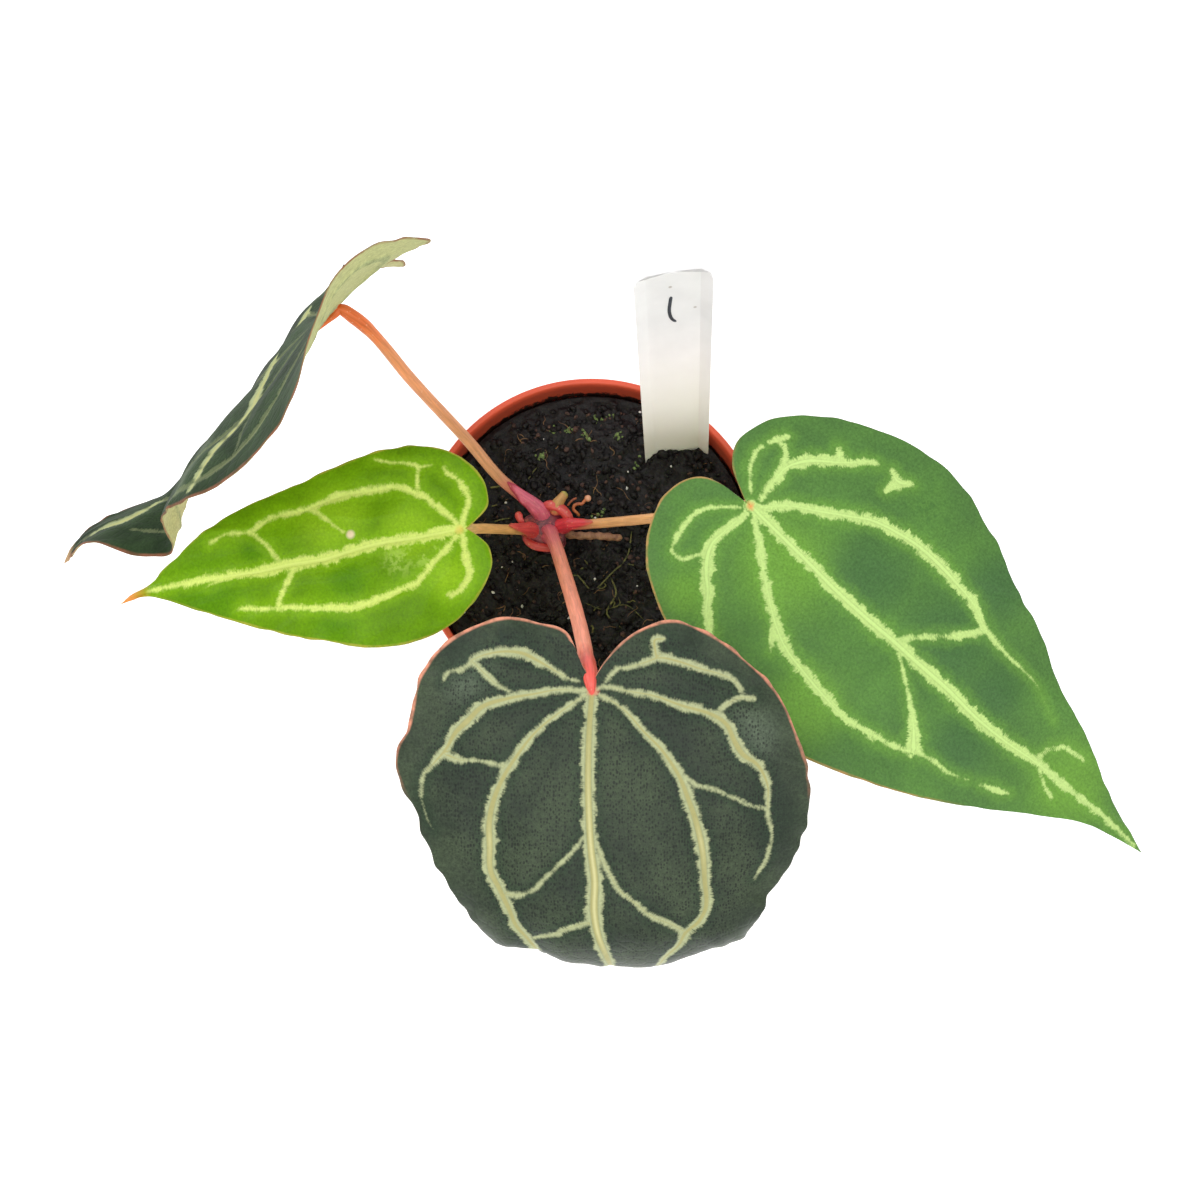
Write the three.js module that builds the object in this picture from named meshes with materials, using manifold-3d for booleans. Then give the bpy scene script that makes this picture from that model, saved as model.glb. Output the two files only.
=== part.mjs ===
// A potted anthurium hybrid: a nursery pot of dark mix, a short rhizome with thick roots, four leaf stalks
// with heart-shaped blades, sheaths at the crown and a plant label. Millimetres, +Z up, the origin at the
// middle of the pot's underside, -Y towards the viewer.
import * as THREE from "three";
import { mergeVertices } from "three/addons/utils/BufferGeometryUtils.js";
import Module from "manifold-3d";

const wasm = await Module();
wasm.setup();

// ---- Driving dimensions ----
const GAP = 0.3; // between pieces that touch
const POT = {
  sides: 48,
  height: 78,
  rimRadius: 45,
  baseRadius: 31.5,
  collarFoot: 59, // height where the wide collar starts
  floor: 1.8,
  drainHoles: 8,
  drainRadius: 3,
  drainCircle: 23,
};
const SOIL = { top: 69.5, fall: 0.012, climb: 0.05, lump: 0.9, rings: 9 };
const CROWN = { x: -11.3, y: 4, foot: 40 };
const LABEL = {
  base: [22.8, 26.6, 70], // where the face meets the mix
  above: 86,
  buried: 30,
  point: 27, // length of the taper to the foot
  foot: 1.2, // half width of the foot
  face: 12.4,
  flange: 3.2,
  fold: 38, // degrees that the flanges lean forwards
  thick: 0.8,
  lean: 2.6, // degrees to the left
  tilt: 10, // degrees backwards
  turn: 9, // degrees about its own length, left edge forwards
};
const BLADE = { thick: 0.9, sideSteps: 28, rings: [0.14, 0.32, 0.5, 0.68, 0.85, 1] };

// A leaf lies along a spine through its stalk's end. Each row of `spine` gives a distance y along the
// midrib, then in degrees the heading, the pitch and the roll there, the angle by which both halves
// rise, and how much the left and the right half curl upwards per 10 mm. `right` and `left` are the
// two edges from the bottom of the notch to the tip, in the blade's own x across and y along. `wave`
// is the height and the number of waves of each edge.
const LEAVES = {
  front: {
    at: [0.5, -52, 140],
    spine: [
      [-20, -91, -4, 0, 5, -3, -3],
      [0, -91, -10, 0, 3, -3, -3],
      [30, -90, -22, 0, 0, -3, -3],
      [50, -87, -31, 3, 0, -5, -6],
      [63, -81, -63, 12, 0, -6, -7],
      [74, -89, -96, 9, 0, -9, -12],
      [88, -86, -115, 4, 0, -3, -2],
      [108, -84, -112, 0, 0, 0, 0],
    ],
    right: [
      [0, -2], [3, -7], [9, -13], [18, -16], [26, -13], [35, -7], [42, 0], [46, 9], [49, 18], [50, 27],
      [48, 37], [44, 48], [38, 61], [31, 73], [22, 85], [13, 95], [5, 103], [1, 108],
    ],
    left: [
      [0, -2], [-3, -7], [-6, -13], [-12, -15], [-19, -16], [-26, -14], [-34, -9], [-39, -2], [-41, 9],
      [-44, 15], [-43, 22], [-40, 28], [-37, 36], [-32, 46], [-28, 55], [-22, 67], [-15, 80], [-8, 92],
      [-3, 101], [1, 108],
    ],
    wave: [0.7, 6],
    colour: 0x34493d,
  },
  right: {
    at: [38.5, -2, 116],
    spine: [
      [-20, -40, 4, 0, 4, -2, -2],
      [0, -41, -2, 0, 2, -2, -2],
      [35, -42, -10, 0, 0, -2, -2],
      [75, -40, -19, 0, 0, -1, -1],
      [105, -36, -25, 0, 0, 0, 0],
      [135, -34, -30, 0, 0, 0, 0],
    ],
    right: [
      [0, -1.5], [1.5, -4.5], [5, -10], [10, -12.5], [15, -12], [22, -9], [31, 1], [36, 12], [40, 24],
      [40, 37], [36, 49], [30, 62], [26, 75], [19, 89], [14, 103], [8, 116], [5, 125], [2, 134],
    ],
    left: [
      [0, -1.5], [-0.4, -6], [-1.4, -12], [-4, -15.5], [-10, -17.5], [-18, -16], [-27, -10], [-34, 1],
      [-38, 13], [-40, 26], [-39, 41], [-36, 51], [-32, 61], [-27, 72], [-20, 84], [-13, 95], [-7, 105],
      [-2, 115], [0.5, 125], [2, 134],
    ],
    wave: [0.5, 4],
    colour: 0x4a8a34,
  },
  left: {
    at: [-31, -9, 120],
    spine: [
      [-10, 184, 6, 0, 6, -2, -2],
      [0, 185, 0, 0, 5, -2, -2],
      [28, 188, -8, 0, 3, -2, -2],
      [55, 191, -16, 0, 2, -2, -2],
      [78, 190, -22, 0, 0, 0, 0],
      [90, 204, -34, 0, 0, 0, 0],
    ],
    right: [
      [0, -1.5], [2, -4], [5, -6.5], [10, -7], [15, -4.5], [22, 2], [26, 12], [26, 24], [23, 34],
      [19, 45], [13, 57], [8, 66], [4.4, 72.5], [1.5, 78.5], [0.4, 82.5], [0, 86], [-0.5, 89],
    ],
    left: [
      [0, -1.5], [-2, -4], [-5, -6.8], [-9, -7], [-15, -4], [-20, 2], [-22, 11], [-21, 20], [-19, 29],
      [-16.5, 41], [-14, 54], [-10, 65], [-5.6, 73], [-2.6, 78.5], [-1.5, 82.5], [-1.1, 86], [-0.5, 89],
    ],
    wave: [0.5, 3],
    colour: 0x69a51c,
  },
  back: {
    at: [-60, 40.5, 138],
    spine: [
      [-24, 206, 5, 69, -4, 2, 3],
      [-6, 218, -12, 63, 6.5, -1.5, 1.5],
      [6, 213, -31, 63, 1, 0, -5.4],
      [22, 208, -44, 51, 0, -2, -1.7],
      [45, 212, -55, 67, 5, 2, -8.2],
      [64, 216, -46, 69, 3, 1, -7],
      [77, 210, -35, 38, -5, -13.4, 7],
      [88, 196, -17, 54, 0, -11.4, -15.5],
      [102, 192, -26, 54, 0, -1.5, 1.6],
      [124, 225, -65, 40, 0, 0, 0],
    ],
    right: [
      [0, -2.5], [1, -4.5], [6, -13], [14, -21], [25, -23], [36, -16], [42, -4], [43, 12], [41, 28],
      [36, 45], [30, 62], [24, 77], [18, 92], [9, 106], [3, 116], [0, 124],
    ],
    left: [
      [0, -2.5], [-1, -4.5], [-6, -13], [-14, -21], [-25, -23], [-36, -16], [-42, -4], [-43, 12],
      [-41, 28], [-36, 45], [-29, 62], [-22, 77], [-15, 92], [-8, 105], [-3, 116], [0, 124],
    ],
    wave: [0.5, 4],
    colour: 0x41553f,
  },
};

// Each stalk runs from inside the crown to just under its blade.
const STALKS = {
  front: {
    radius: 2,
    points: [[-11.3, 3, 74], [-10.6, 1, 80.5], [-9, -4, 87], [-7, -12, 95], [-3.8, -26, 111], [-1.6, -38, 125],
      [-0.2, -48, 135.5], [0.3, -51.5, 138]],
    colour: 0xcf8268,
  },
  right: {
    radius: 1.5,
    points: [[-11, 4, 73], [-7.7, 4.5, 76], [-0.3, 3.1, 83], [16, 0.3, 98], [26.7, -0.8, 106.5],
      [35.5, -1, 112.3], [38.8, -1.8, 114]],
    colour: 0xb9855a,
  },
  left: {
    radius: 1.3,
    points: [[-12, 4.5, 73], [-15.2, 4.2, 76], [-17.9, 2.6, 81.5], [-23, -0.8, 93], [-27.6, -5, 107],
      [-30, -8, 116], [-31, -9, 118.4]],
    colour: 0xb98a5f,
  },
  back: {
    radius: 1.8,
    points: [[-11.3, 5, 73], [-13.4, 8.2, 77], [-18.4, 10.9, 83], [-23.3, 13.6, 89], [-30.4, 19.4, 100],
      [-43.8, 29.2, 120], [-52.2, 36.6, 131.5], [-55.6, 38.6, 135], [-58.8, 39.6, 136.6]],
    colour: 0xc9824f,
  },
};

// Thick roots that leave the rhizome under the mix.
const ROOTS = [
  [[-11.3, 4, 58], [-4, 0, 55], [5, -6, 48], [10, -12, 34], [12, -14, 20]],
  [[-11.3, 4, 54], [-18, 8, 50], [-24, 13, 40], [-26, 15, 24]],
  [[-11.3, 4, 50], [-14, -3, 46], [-17, -12, 36], [-16, -18, 22]],
  [[-11.3, 4, 46], [-8, 10, 40], [-2, 17, 30], [2, 20, 16]],
];
const ROOT_RADIUS = 1.4;
const AERIAL_ROOT = { radius: 1, points: [[-8.5, 3.4, 71.6], [-4, 2.2, 71.4], [1, 1.8, 70.4], [8.6, 1.4, 70.2]] };

// Sheaths that wrap the feet of three stalks: wall, and how far along the stalk each reaches on its upper
// and its under side.
const SHEATHS = {
  left: { wall: 0.9, upper: 13, under: 7.5, colour: 0xb23a52 },
  right: { wall: 0.9, upper: 13.5, under: 7.5, colour: 0xb23a52 },
  back: { wall: 0.9, upper: 15, under: 8, colour: 0xc8405a },
};

// ---- Geometry helpers ----
const root = new THREE.Group();
const DEG = Math.PI / 180;

function vec(p) {
  return new THREE.Vector3(p[0], p[1], p[2]);
}

// Puts a finished geometry into the group as a named mesh.
function addMesh(name, geometry, colour, roughness) {
  const material = new THREE.MeshStandardMaterial({ color: colour, roughness, metalness: 0 });
  const mesh = new THREE.Mesh(geometry, material);
  mesh.name = name;
  root.add(mesh);
}

// A closed geometry as a solid that can be joined and cut.
function solid(geometry) {
  geometry.deleteAttribute("normal");
  geometry.deleteAttribute("uv");
  const merged = mergeVertices(geometry, 1e-4);
  return new wasm.Manifold(
    new wasm.Mesh({
      numProp: 3,
      vertProperties: merged.attributes.position.array,
      triVerts: new Uint32Array(merged.index.array),
    }),
  );
}

// A solid as a geometry again.
function geometryOf(body) {
  const mesh = body.getMesh();
  const geometry = new THREE.BufferGeometry();
  geometry.setAttribute("position", new THREE.BufferAttribute(mesh.vertProperties, 3));
  geometry.setIndex(new THREE.BufferAttribute(mesh.triVerts, 1));
  return geometry;
}

// The largest body of a solid, where a cut leaves crumbs beside it.
function largest(body) {
  return body.decompose().sort((a, b) => b.volume() - a.volume())[0];
}

// Smooth value at x through the rows (station, values...), with slopes taken from the neighbours.
function smooth(rows, x) {
  const last = rows.length - 1;
  const at = Math.min(Math.max(x, rows[0][0]), rows[last][0]);
  let i = 0;
  while (i < last - 1 && at >= rows[i + 1][0]) i += 1;
  const slope = (k, c) => (rows[k + 1][c] - rows[k][c]) / (rows[k + 1][0] - rows[k][0]);
  const tangent = (k, c) => {
    if (k === 0) return slope(0, c);
    if (k === last) return slope(last - 1, c);
    return (slope(k - 1, c) + slope(k, c)) / 2;
  };
  const step = rows[i + 1][0] - rows[i][0];
  const t = (at - rows[i][0]) / step;
  const [t2, t3] = [t * t, t * t * t];
  return rows[i].slice(1).map((_, n) => {
    const c = n + 1;
    return (
      (2 * t3 - 3 * t2 + 1) * rows[i][c] +
      (t3 - 2 * t2 + t) * step * tangent(i, c) +
      (3 * t2 - 2 * t3) * rows[i + 1][c] +
      (t3 - t2) * step * tangent(i + 1, c)
    );
  });
}

// A round bar of one radius along a smooth path.
function bar(points, radius, sides, steps) {
  const path = new THREE.CatmullRomCurve3(points.map(vec), false, "centripetal");
  const outline = [];
  for (let i = 0; i < sides; i += 1) {
    const a = (2 * Math.PI * i) / sides;
    outline.push(new THREE.Vector2(radius * Math.cos(a), radius * Math.sin(a)));
  }
  return new THREE.ExtrudeGeometry(new THREE.Shape(outline), { steps, extrudePath: path, bevelEnabled: false });
}

// A turned body about +Z from (radius, height) points that start and end on the axis.
function turned(profile, sides) {
  const geometry = new THREE.LatheGeometry(profile.map(([r, z]) => new THREE.Vector2(r, z)), sides);
  return geometry.rotateX(Math.PI / 2);
}

// ---- Leaf surface ----
function direction(heading, pitch) {
  const [h, p] = [heading * DEG, pitch * DEG];
  return new THREE.Vector3(Math.cos(h) * Math.cos(p), Math.sin(h) * Math.cos(p), Math.sin(p));
}

// The spine of a leaf as points 1 mm apart, summed from its headings and pitches.
function spineOf(leaf) {
  const first = leaf.spine[0][0];
  const last = leaf.spine[leaf.spine.length - 1][0];
  const nodes = [];
  for (let y = first; y <= last; y += 1) {
    const [heading, pitch, roll, rise, curlLeft, curlRight] = smooth(leaf.spine, y);
    nodes.push({ y, heading, pitch, roll, rise, curlLeft, curlRight, at: new THREE.Vector3() });
  }
  for (let i = 1; i < nodes.length; i += 1) {
    const [a, b] = [nodes[i - 1], nodes[i]];
    const along = direction(a.heading, a.pitch).add(direction(b.heading, b.pitch)).multiplyScalar(0.5);
    b.at.copy(a.at).add(along);
  }
  const shift = vec(leaf.at).sub(nodes[-first].at);
  nodes.forEach((node) => node.at.add(shift));
  return nodes;
}

// The place in space of the blade's point (x, y), lifted by `lift` square to the section across it.
function bladePoint(nodes, x, y, lift) {
  const u = Math.min(Math.max(y - nodes[0].y, 0), nodes.length - 1.001);
  const [a, b, f] = [nodes[Math.floor(u)], nodes[Math.floor(u) + 1], u - Math.floor(u)];
  const mix = (key) => a[key] + (b[key] - a[key]) * f;
  const along = direction(mix("heading"), mix("pitch"));
  const heading = mix("heading") * DEG;
  const level = new THREE.Vector3(-Math.sin(heading), Math.cos(heading), 0);
  const upright = new THREE.Vector3().crossVectors(along, level);
  const [c, s] = [Math.cos(mix("roll") * DEG), Math.sin(mix("roll") * DEG)];
  const side = level.clone().multiplyScalar(c).addScaledVector(upright, s);
  const normal = upright.clone().multiplyScalar(c).addScaledVector(level, -s);
  const rise = mix("rise") * DEG;
  let curl = ((x < 0 ? mix("curlLeft") : mix("curlRight")) * DEG) / 10;
  if (Math.abs(curl) < 1e-6) curl = 1e-6;
  const reach = Math.abs(x);
  const angle = rise + curl * reach;
  const across = (Math.sin(angle) - Math.sin(rise)) / curl - lift * Math.sin(angle);
  const height = (Math.cos(rise) - Math.cos(angle)) / curl + lift * Math.cos(angle);
  return a.at.clone().lerp(b.at, f).addScaledVector(side, Math.sign(x) * across).addScaledVector(normal, height);
}

// Points evenly spaced along an edge, from the notch to the tip.
function edgePoints(edge, count) {
  let length = 0;
  const rows = edge.map((p, i) => {
    if (i) length += Math.hypot(p[0] - edge[i - 1][0], p[1] - edge[i - 1][1]);
    return [length, p[0], p[1]];
  });
  const points = [];
  for (let i = 0; i <= count; i += 1) points.push(smooth(rows, (length * i) / count));
  return points;
}

// The blade as a closed shell of even thickness: rings between the stalk's end and the edge, split into
// triangles alike on both faces. `extra` makes it larger all round, for cutting clearance.
function bladeGeometry(leaf, extra) {
  const nodes = spineOf(leaf);
  const n = BLADE.sideSteps;
  const right = edgePoints(leaf.right, n);
  const left = edgePoints(leaf.left, n);
  const rim = [...right, ...left.slice(1, n).reverse()];
  const half = BLADE.thick / 2 + extra;
  const positions = [];
  for (const face of [1, -1]) {
    positions.push(...bladePoint(nodes, 0, 0, face * half).toArray());
    for (const r of BLADE.rings) {
      rim.forEach(([x, y], j) => {
        const grow = 1 + (extra * r) / Math.hypot(x, y);
        const part = (j <= n ? j : 2 * n - j) / n;
        const wave = leaf.wave[0] * r ** 3 * Math.sin(2 * Math.PI * leaf.wave[1] * part);
        const p = bladePoint(nodes, x * r * grow, y * r * grow, face * half + wave);
        positions.push(...p.toArray());
      });
    }
  }
  const m = rim.length;
  const perFace = 1 + BLADE.rings.length * m;
  const index = [];
  const ring = (f, i, j) => f * perFace + 1 + i * m + (j % m);
  for (let f = 0; f < 2; f += 1) {
    const put = (a, b, c) => (f ? index.push(a, b, c) : index.push(a, c, b));
    for (let j = 0; j < m; j += 1) {
      put(f * perFace, ring(f, 0, j), ring(f, 0, j + 1));
      for (let i = 1; i < BLADE.rings.length; i += 1) {
        put(ring(f, i - 1, j), ring(f, i, j), ring(f, i, j + 1));
        put(ring(f, i - 1, j), ring(f, i, j + 1), ring(f, i - 1, j + 1));
      }
    }
  }
  const outer = BLADE.rings.length - 1;
  for (let j = 0; j < m; j += 1) {
    index.push(ring(0, outer, j), ring(1, outer, j + 1), ring(1, outer, j));
    index.push(ring(0, outer, j), ring(0, outer, j + 1), ring(1, outer, j + 1));
  }
  const geometry = new THREE.BufferGeometry();
  geometry.setAttribute("position", new THREE.Float32BufferAttribute(positions, 3));
  geometry.setIndex(index);
  return geometry;
}

// ---- Pot ----
// Tapering wall, wide collar with a rolled lip, thin floor with drainage holes.
function potBody() {
  const wall = 1.2;
  const { rimRadius, baseRadius, collarFoot, height, floor } = POT;
  let body = solid(
    turned(
      [
        [0, 0], [baseRadius - 1.2, 0], [baseRadius, 1.2], [40.6, collarFoot - 1], [42.6, collarFoot],
        [43.4, collarFoot + 1], [44.2, height - 2.6], [rimRadius, height - 2], [rimRadius, height - 0.5],
        [rimRadius - 0.5, height], [rimRadius - 1.2, height], [rimRadius - 1.7, height - 0.5],
        [42.2, collarFoot + 0.4], [40.6 - wall, collarFoot - 0.6], [baseRadius - wall, floor], [0, floor],
      ],
      POT.sides,
    ),
  );
  for (let i = 0; i < POT.drainHoles; i += 1) {
    const angle = (2 * Math.PI * (i + 0.5)) / POT.drainHoles;
    const hole = new THREE.CylinderGeometry(POT.drainRadius, POT.drainRadius, 8, 16).rotateX(Math.PI / 2);
    hole.translate(POT.drainCircle * Math.cos(angle), POT.drainCircle * Math.sin(angle), 0);
    body = body.subtract(solid(hole));
  }
  return body;
}

// ---- Crown ----
// The rhizome with its thick roots, made larger by `extra` to cut its hole in the mix.
function stemBody(extra) {
  const e = extra;
  const profile = [
    [0, CROWN.foot - e], [2.4 + e, CROWN.foot + 1], [4 + e, 48], [4.4 + e, 56], [4 + e, 58], [4.8 + e, 64],
    [4.4 + e, 66], [5.2 + e, 70], [5.2 + e, 73.5], [4.2 + e, 76.5], [2.4 + e, 78.2], [0, 78.8 + e],
  ];
  let body = solid(turned(profile, 20).translate(CROWN.x, CROWN.y, 0));
  for (const points of ROOTS) body = body.add(solid(bar(points, ROOT_RADIUS + e, 8, 12)));
  return body;
}

// ---- Label ----
// A folded strip: flat face, a flange leaning forwards along each edge, and a pointed foot.
function labelBody(extra) {
  const { face, flange, fold, thick, above, buried, point, foot } = LABEL;
  const out = flange * Math.cos(fold * DEG);
  const fore = flange * Math.sin(fold * DEG);
  const h = face / 2;
  const t = thick;
  const e = extra;
  const outline = [
    [-h - out - e, -fore - e], [-h + 0.35 * e, -e], [h - 0.35 * e, -e], [h + out + e, -fore - e],
    [h + out + e, t - fore + 2 * e], [h + 0.35 * e, t + e], [-h - 0.35 * e, t + e],
    [-h - out - e, t - fore + 2 * e],
  ];
  const shape = new THREE.Shape(outline.map(([x, y]) => new THREE.Vector2(x, y)));
  const strip = new THREE.ExtrudeGeometry(shape, { depth: above + buried + e, bevelEnabled: false });
  let body = solid(strip.translate(0, 0, -buried - e));
  for (const side of [-1, 1]) {
    const corner = new THREE.BoxGeometry(30, 30, 60).translate(side * (15 + e), 0, 25);
    corner.rotateY(side * Math.atan2(h + out - foot, point));
    corner.translate(side * foot, 0, -buried);
    body = body.subtract(solid(corner));
  }
  const place = new THREE.Matrix4().makeRotationX(-LABEL.tilt * DEG);
  place.premultiply(new THREE.Matrix4().makeRotationY(-LABEL.lean * DEG));
  place.multiply(new THREE.Matrix4().makeRotationZ(LABEL.turn * DEG));
  place.setPosition(...LABEL.base);
  return solid(geometryOf(body).applyMatrix4(place));
}

// ---- Mix ----
// Height of the mix above its mean level: low lumps on a surface that falls to the left and the front.
function soilRelief(x, y, radius) {
  const edge = 1 - (Math.hypot(x, y) / radius) ** 4;
  const lumps = Math.sin(0.31 * x + 0.9) * Math.cos(0.27 * y - 0.4) + 0.6 * Math.sin(0.52 * y + 0.36 * x);
  return SOIL.fall * x + SOIL.climb * y + SOIL.lump * lumps * edge;
}

function soilBody() {
  const radius = 42.3 - GAP;
  const profile = [
    [0, POT.floor + GAP],
    [POT.baseRadius - 1.2 - GAP, POT.floor + GAP],
    [40.6 - 1.2 - GAP, POT.collarFoot - 0.6 + GAP],
    [radius - 0.2, POT.collarFoot + 0.4 + GAP],
  ];
  for (let i = SOIL.rings; i >= 0; i -= 1) profile.push([(radius * i) / SOIL.rings, SOIL.top]);
  const geometry = turned(profile, POT.sides);
  const position = geometry.attributes.position;
  for (let i = 0; i < position.count; i += 1) {
    const [x, y, z] = [position.getX(i), position.getY(i), position.getZ(i)];
    if (z > SOIL.top - 0.01) position.setZ(i, z + soilRelief(x, y, radius));
  }
  return solid(geometry).subtract(stemBody(GAP)).subtract(labelBody(GAP)).subtract(aerialRoot(GAP));
}

function aerialRoot(extra) {
  return solid(bar(AERIAL_ROOT.points, AERIAL_ROOT.radius + extra, 8, 10));
}

// ---- Sheaths ----
// A sleeve round the foot of a stalk, cut aslant so that it ends in a tongue on the upper side. `extra`
// makes it larger all round, for cutting clearance.
function sheathBody(sheath, stalk, extra) {
  const path = new THREE.CatmullRomCurve3(stalk.points.map(vec), false, "centripetal");
  const length = path.getLength();
  const radius = stalk.radius + GAP + sheath.wall + extra;
  const part = [];
  for (let i = 0; i <= 12; i += 1) part.push(path.getPointAt((i * (sheath.upper + 3)) / (12 * length)).toArray());
  const [high, low] = [sheath.upper, sheath.under].map((reach, i) => {
    const tangent = path.getTangentAt(reach / length);
    const side = new THREE.Vector3(tangent.y, -tangent.x, 0).normalize();
    const top = side.clone().cross(tangent).multiplyScalar(i ? -radius : radius);
    return path.getPointAt(reach / length).add(top);
  });
  const along = path.getTangentAt(sheath.under / length);
  const across = new THREE.Vector3(along.y, -along.x, 0).normalize();
  const normal = across.cross(high.clone().sub(low)).normalize();
  if (normal.dot(along) > 0) normal.negate();
  const body = solid(bar(part, radius, 12, 12)).trimByPlane(normal.toArray(), normal.dot(high) - extra);
  return extra ? body : body.subtract(solid(bar(stalk.points, stalk.radius + GAP, 12, 18)));
}

// ---- Assembly ----
const stemClear = stemBody(GAP);
const clearances = [];

addMesh("pot", geometryOf(potBody()), 0xe2573a, 0.45);
addMesh("soil", geometryOf(largest(soilBody())), 0x1c1518, 0.95);
addMesh("stem", geometryOf(stemBody(0)), 0x8a3a4a, 0.5);

for (const [name, leaf] of Object.entries(LEAVES)) {
  const stalk = STALKS[name];
  const bladeClear = solid(bladeGeometry(leaf, GAP));
  const body = solid(bar(stalk.points, stalk.radius, 10, 18)).subtract(stemClear).subtract(bladeClear);
  addMesh("petiole_" + name, geometryOf(largest(body)), stalk.colour, 0.45);
  addMesh("blade_" + name, bladeGeometry(leaf, 0), leaf.colour, 0.5);
  clearances.push(solid(bar(stalk.points, stalk.radius + GAP, 10, 18)));
}

for (const [name, sheath] of Object.entries(SHEATHS)) {
  let body = sheathBody(sheath, STALKS[name], 0).subtract(stemClear);
  for (const clear of clearances) body = body.subtract(clear);
  addMesh("cataphyll_" + name, geometryOf(largest(body)), sheath.colour, 0.35);
  clearances.push(sheathBody(sheath, STALKS[name], GAP));
}

addMesh("aerial_root", geometryOf(largest(aerialRoot(0).subtract(stemClear))), 0x6a4a30, 0.8);
addMesh("label", geometryOf(labelBody(0)), 0xf3efe8, 0.4);

export default root;
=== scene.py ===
"""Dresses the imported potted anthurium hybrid: blades with crystalline veins, fleshy stalks, a red crown, a
moulded nursery pot filled with dark mix, and a folded label, on a pale studio floor. Lengths in the tables
are millimetres; the meshes are metres."""

import math
from functools import partial

import bmesh
import bpy
import numpy as np
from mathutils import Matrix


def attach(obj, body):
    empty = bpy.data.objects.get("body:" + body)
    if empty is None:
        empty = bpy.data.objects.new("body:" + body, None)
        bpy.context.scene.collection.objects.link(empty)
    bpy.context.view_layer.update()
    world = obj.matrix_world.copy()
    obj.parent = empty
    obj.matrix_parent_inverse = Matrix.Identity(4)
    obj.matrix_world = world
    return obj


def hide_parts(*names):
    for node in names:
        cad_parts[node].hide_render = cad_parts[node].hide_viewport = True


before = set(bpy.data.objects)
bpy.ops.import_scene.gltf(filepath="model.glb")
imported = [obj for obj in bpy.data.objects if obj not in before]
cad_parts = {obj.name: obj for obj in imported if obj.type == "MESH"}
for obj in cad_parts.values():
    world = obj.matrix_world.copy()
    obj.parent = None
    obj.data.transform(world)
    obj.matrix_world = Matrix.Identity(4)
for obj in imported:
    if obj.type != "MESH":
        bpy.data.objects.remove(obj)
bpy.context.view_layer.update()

bl_info = {
    "name": "Potted anthurium hybrid",
    "version": (1, 0, 0),
    "blender": (4, 5, 0),
    "location": "3D Viewport > Sidebar > Anthurium",
    "description": "Builds the finished blades, stalks, crown, mix, pot and label of a potted anthurium",
    "category": "Add Mesh",
}

MM = 0.001
DEG = math.pi / 180

# The pot: thickness and radius of its floor, the plain disc in the middle, and the holes on their circle.
POT = {"floor": 1.8, "foot": 30.3, "disc": 15.7, "holes": 8, "hole": 3, "circle": 23}
# Its wall as (radius, height), from the foot up the outside, over the lip and down the inside to the floor.
WALL = [(30.3, 0), (30.8, 0.1), (31.2, 0.45), (31.5, 1.1), (31.6, 1.9), (36.1, 30), (40.6, 58), (40.8, 58.5),
        (41.3, 58.9), (42.6, 59), (43.1, 59.3), (43.4, 60), (43.9, 70), (44.2, 75.4), (44.5, 75.8),
        (44.85, 76.1), (45, 76.6), (45, 77.3), (44.85, 77.75), (44.5, 78), (43.9, 78), (43.5, 77.8),
        (43.3, 77.4), (42.9, 70), (42.2, 59.8), (41.9, 59.3), (40.2, 58.8), (39.5, 58.3), (39.3, 57),
        (34.8, 30), (30.5, 3.2), (30.4, 2.3), (30.3, 1.8)]
# The mix: height of its top, its fall to the left and climb to the back, the lumps' height and its radius.
SOIL = {"top": 69.5, "fall": 0.012, "climb": 0.05, "lump": 0.9, "radius": 42.0}
CROWN = (-11.3, 4)
# The label: where it leaves the mix, its lengths above and below, its foot's taper and half width, the widths
# of its face and flanges, its thickness, and the angles of its folds and of its stand, in degrees.
LABEL = {"base": (22.8, 26.6, 70), "above": 86, "buried": 30, "point": 27, "foot": 1.2, "face": 12.4,
         "flange": 3.2, "fold": 38, "thick": 0.8, "lean": 2.6, "tilt": 10, "turn": 9}
# The camera's place, its tilt from straight down, and its lens: 1940 pixels of focal length in a picture
# 1200 pixels wide, on a sensor of 36 mm.
VIEW = {"place": (0.00226, -0.1368, 0.56332), "tilt": 14, "lens": 1940 / 1200 * 36}

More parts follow.
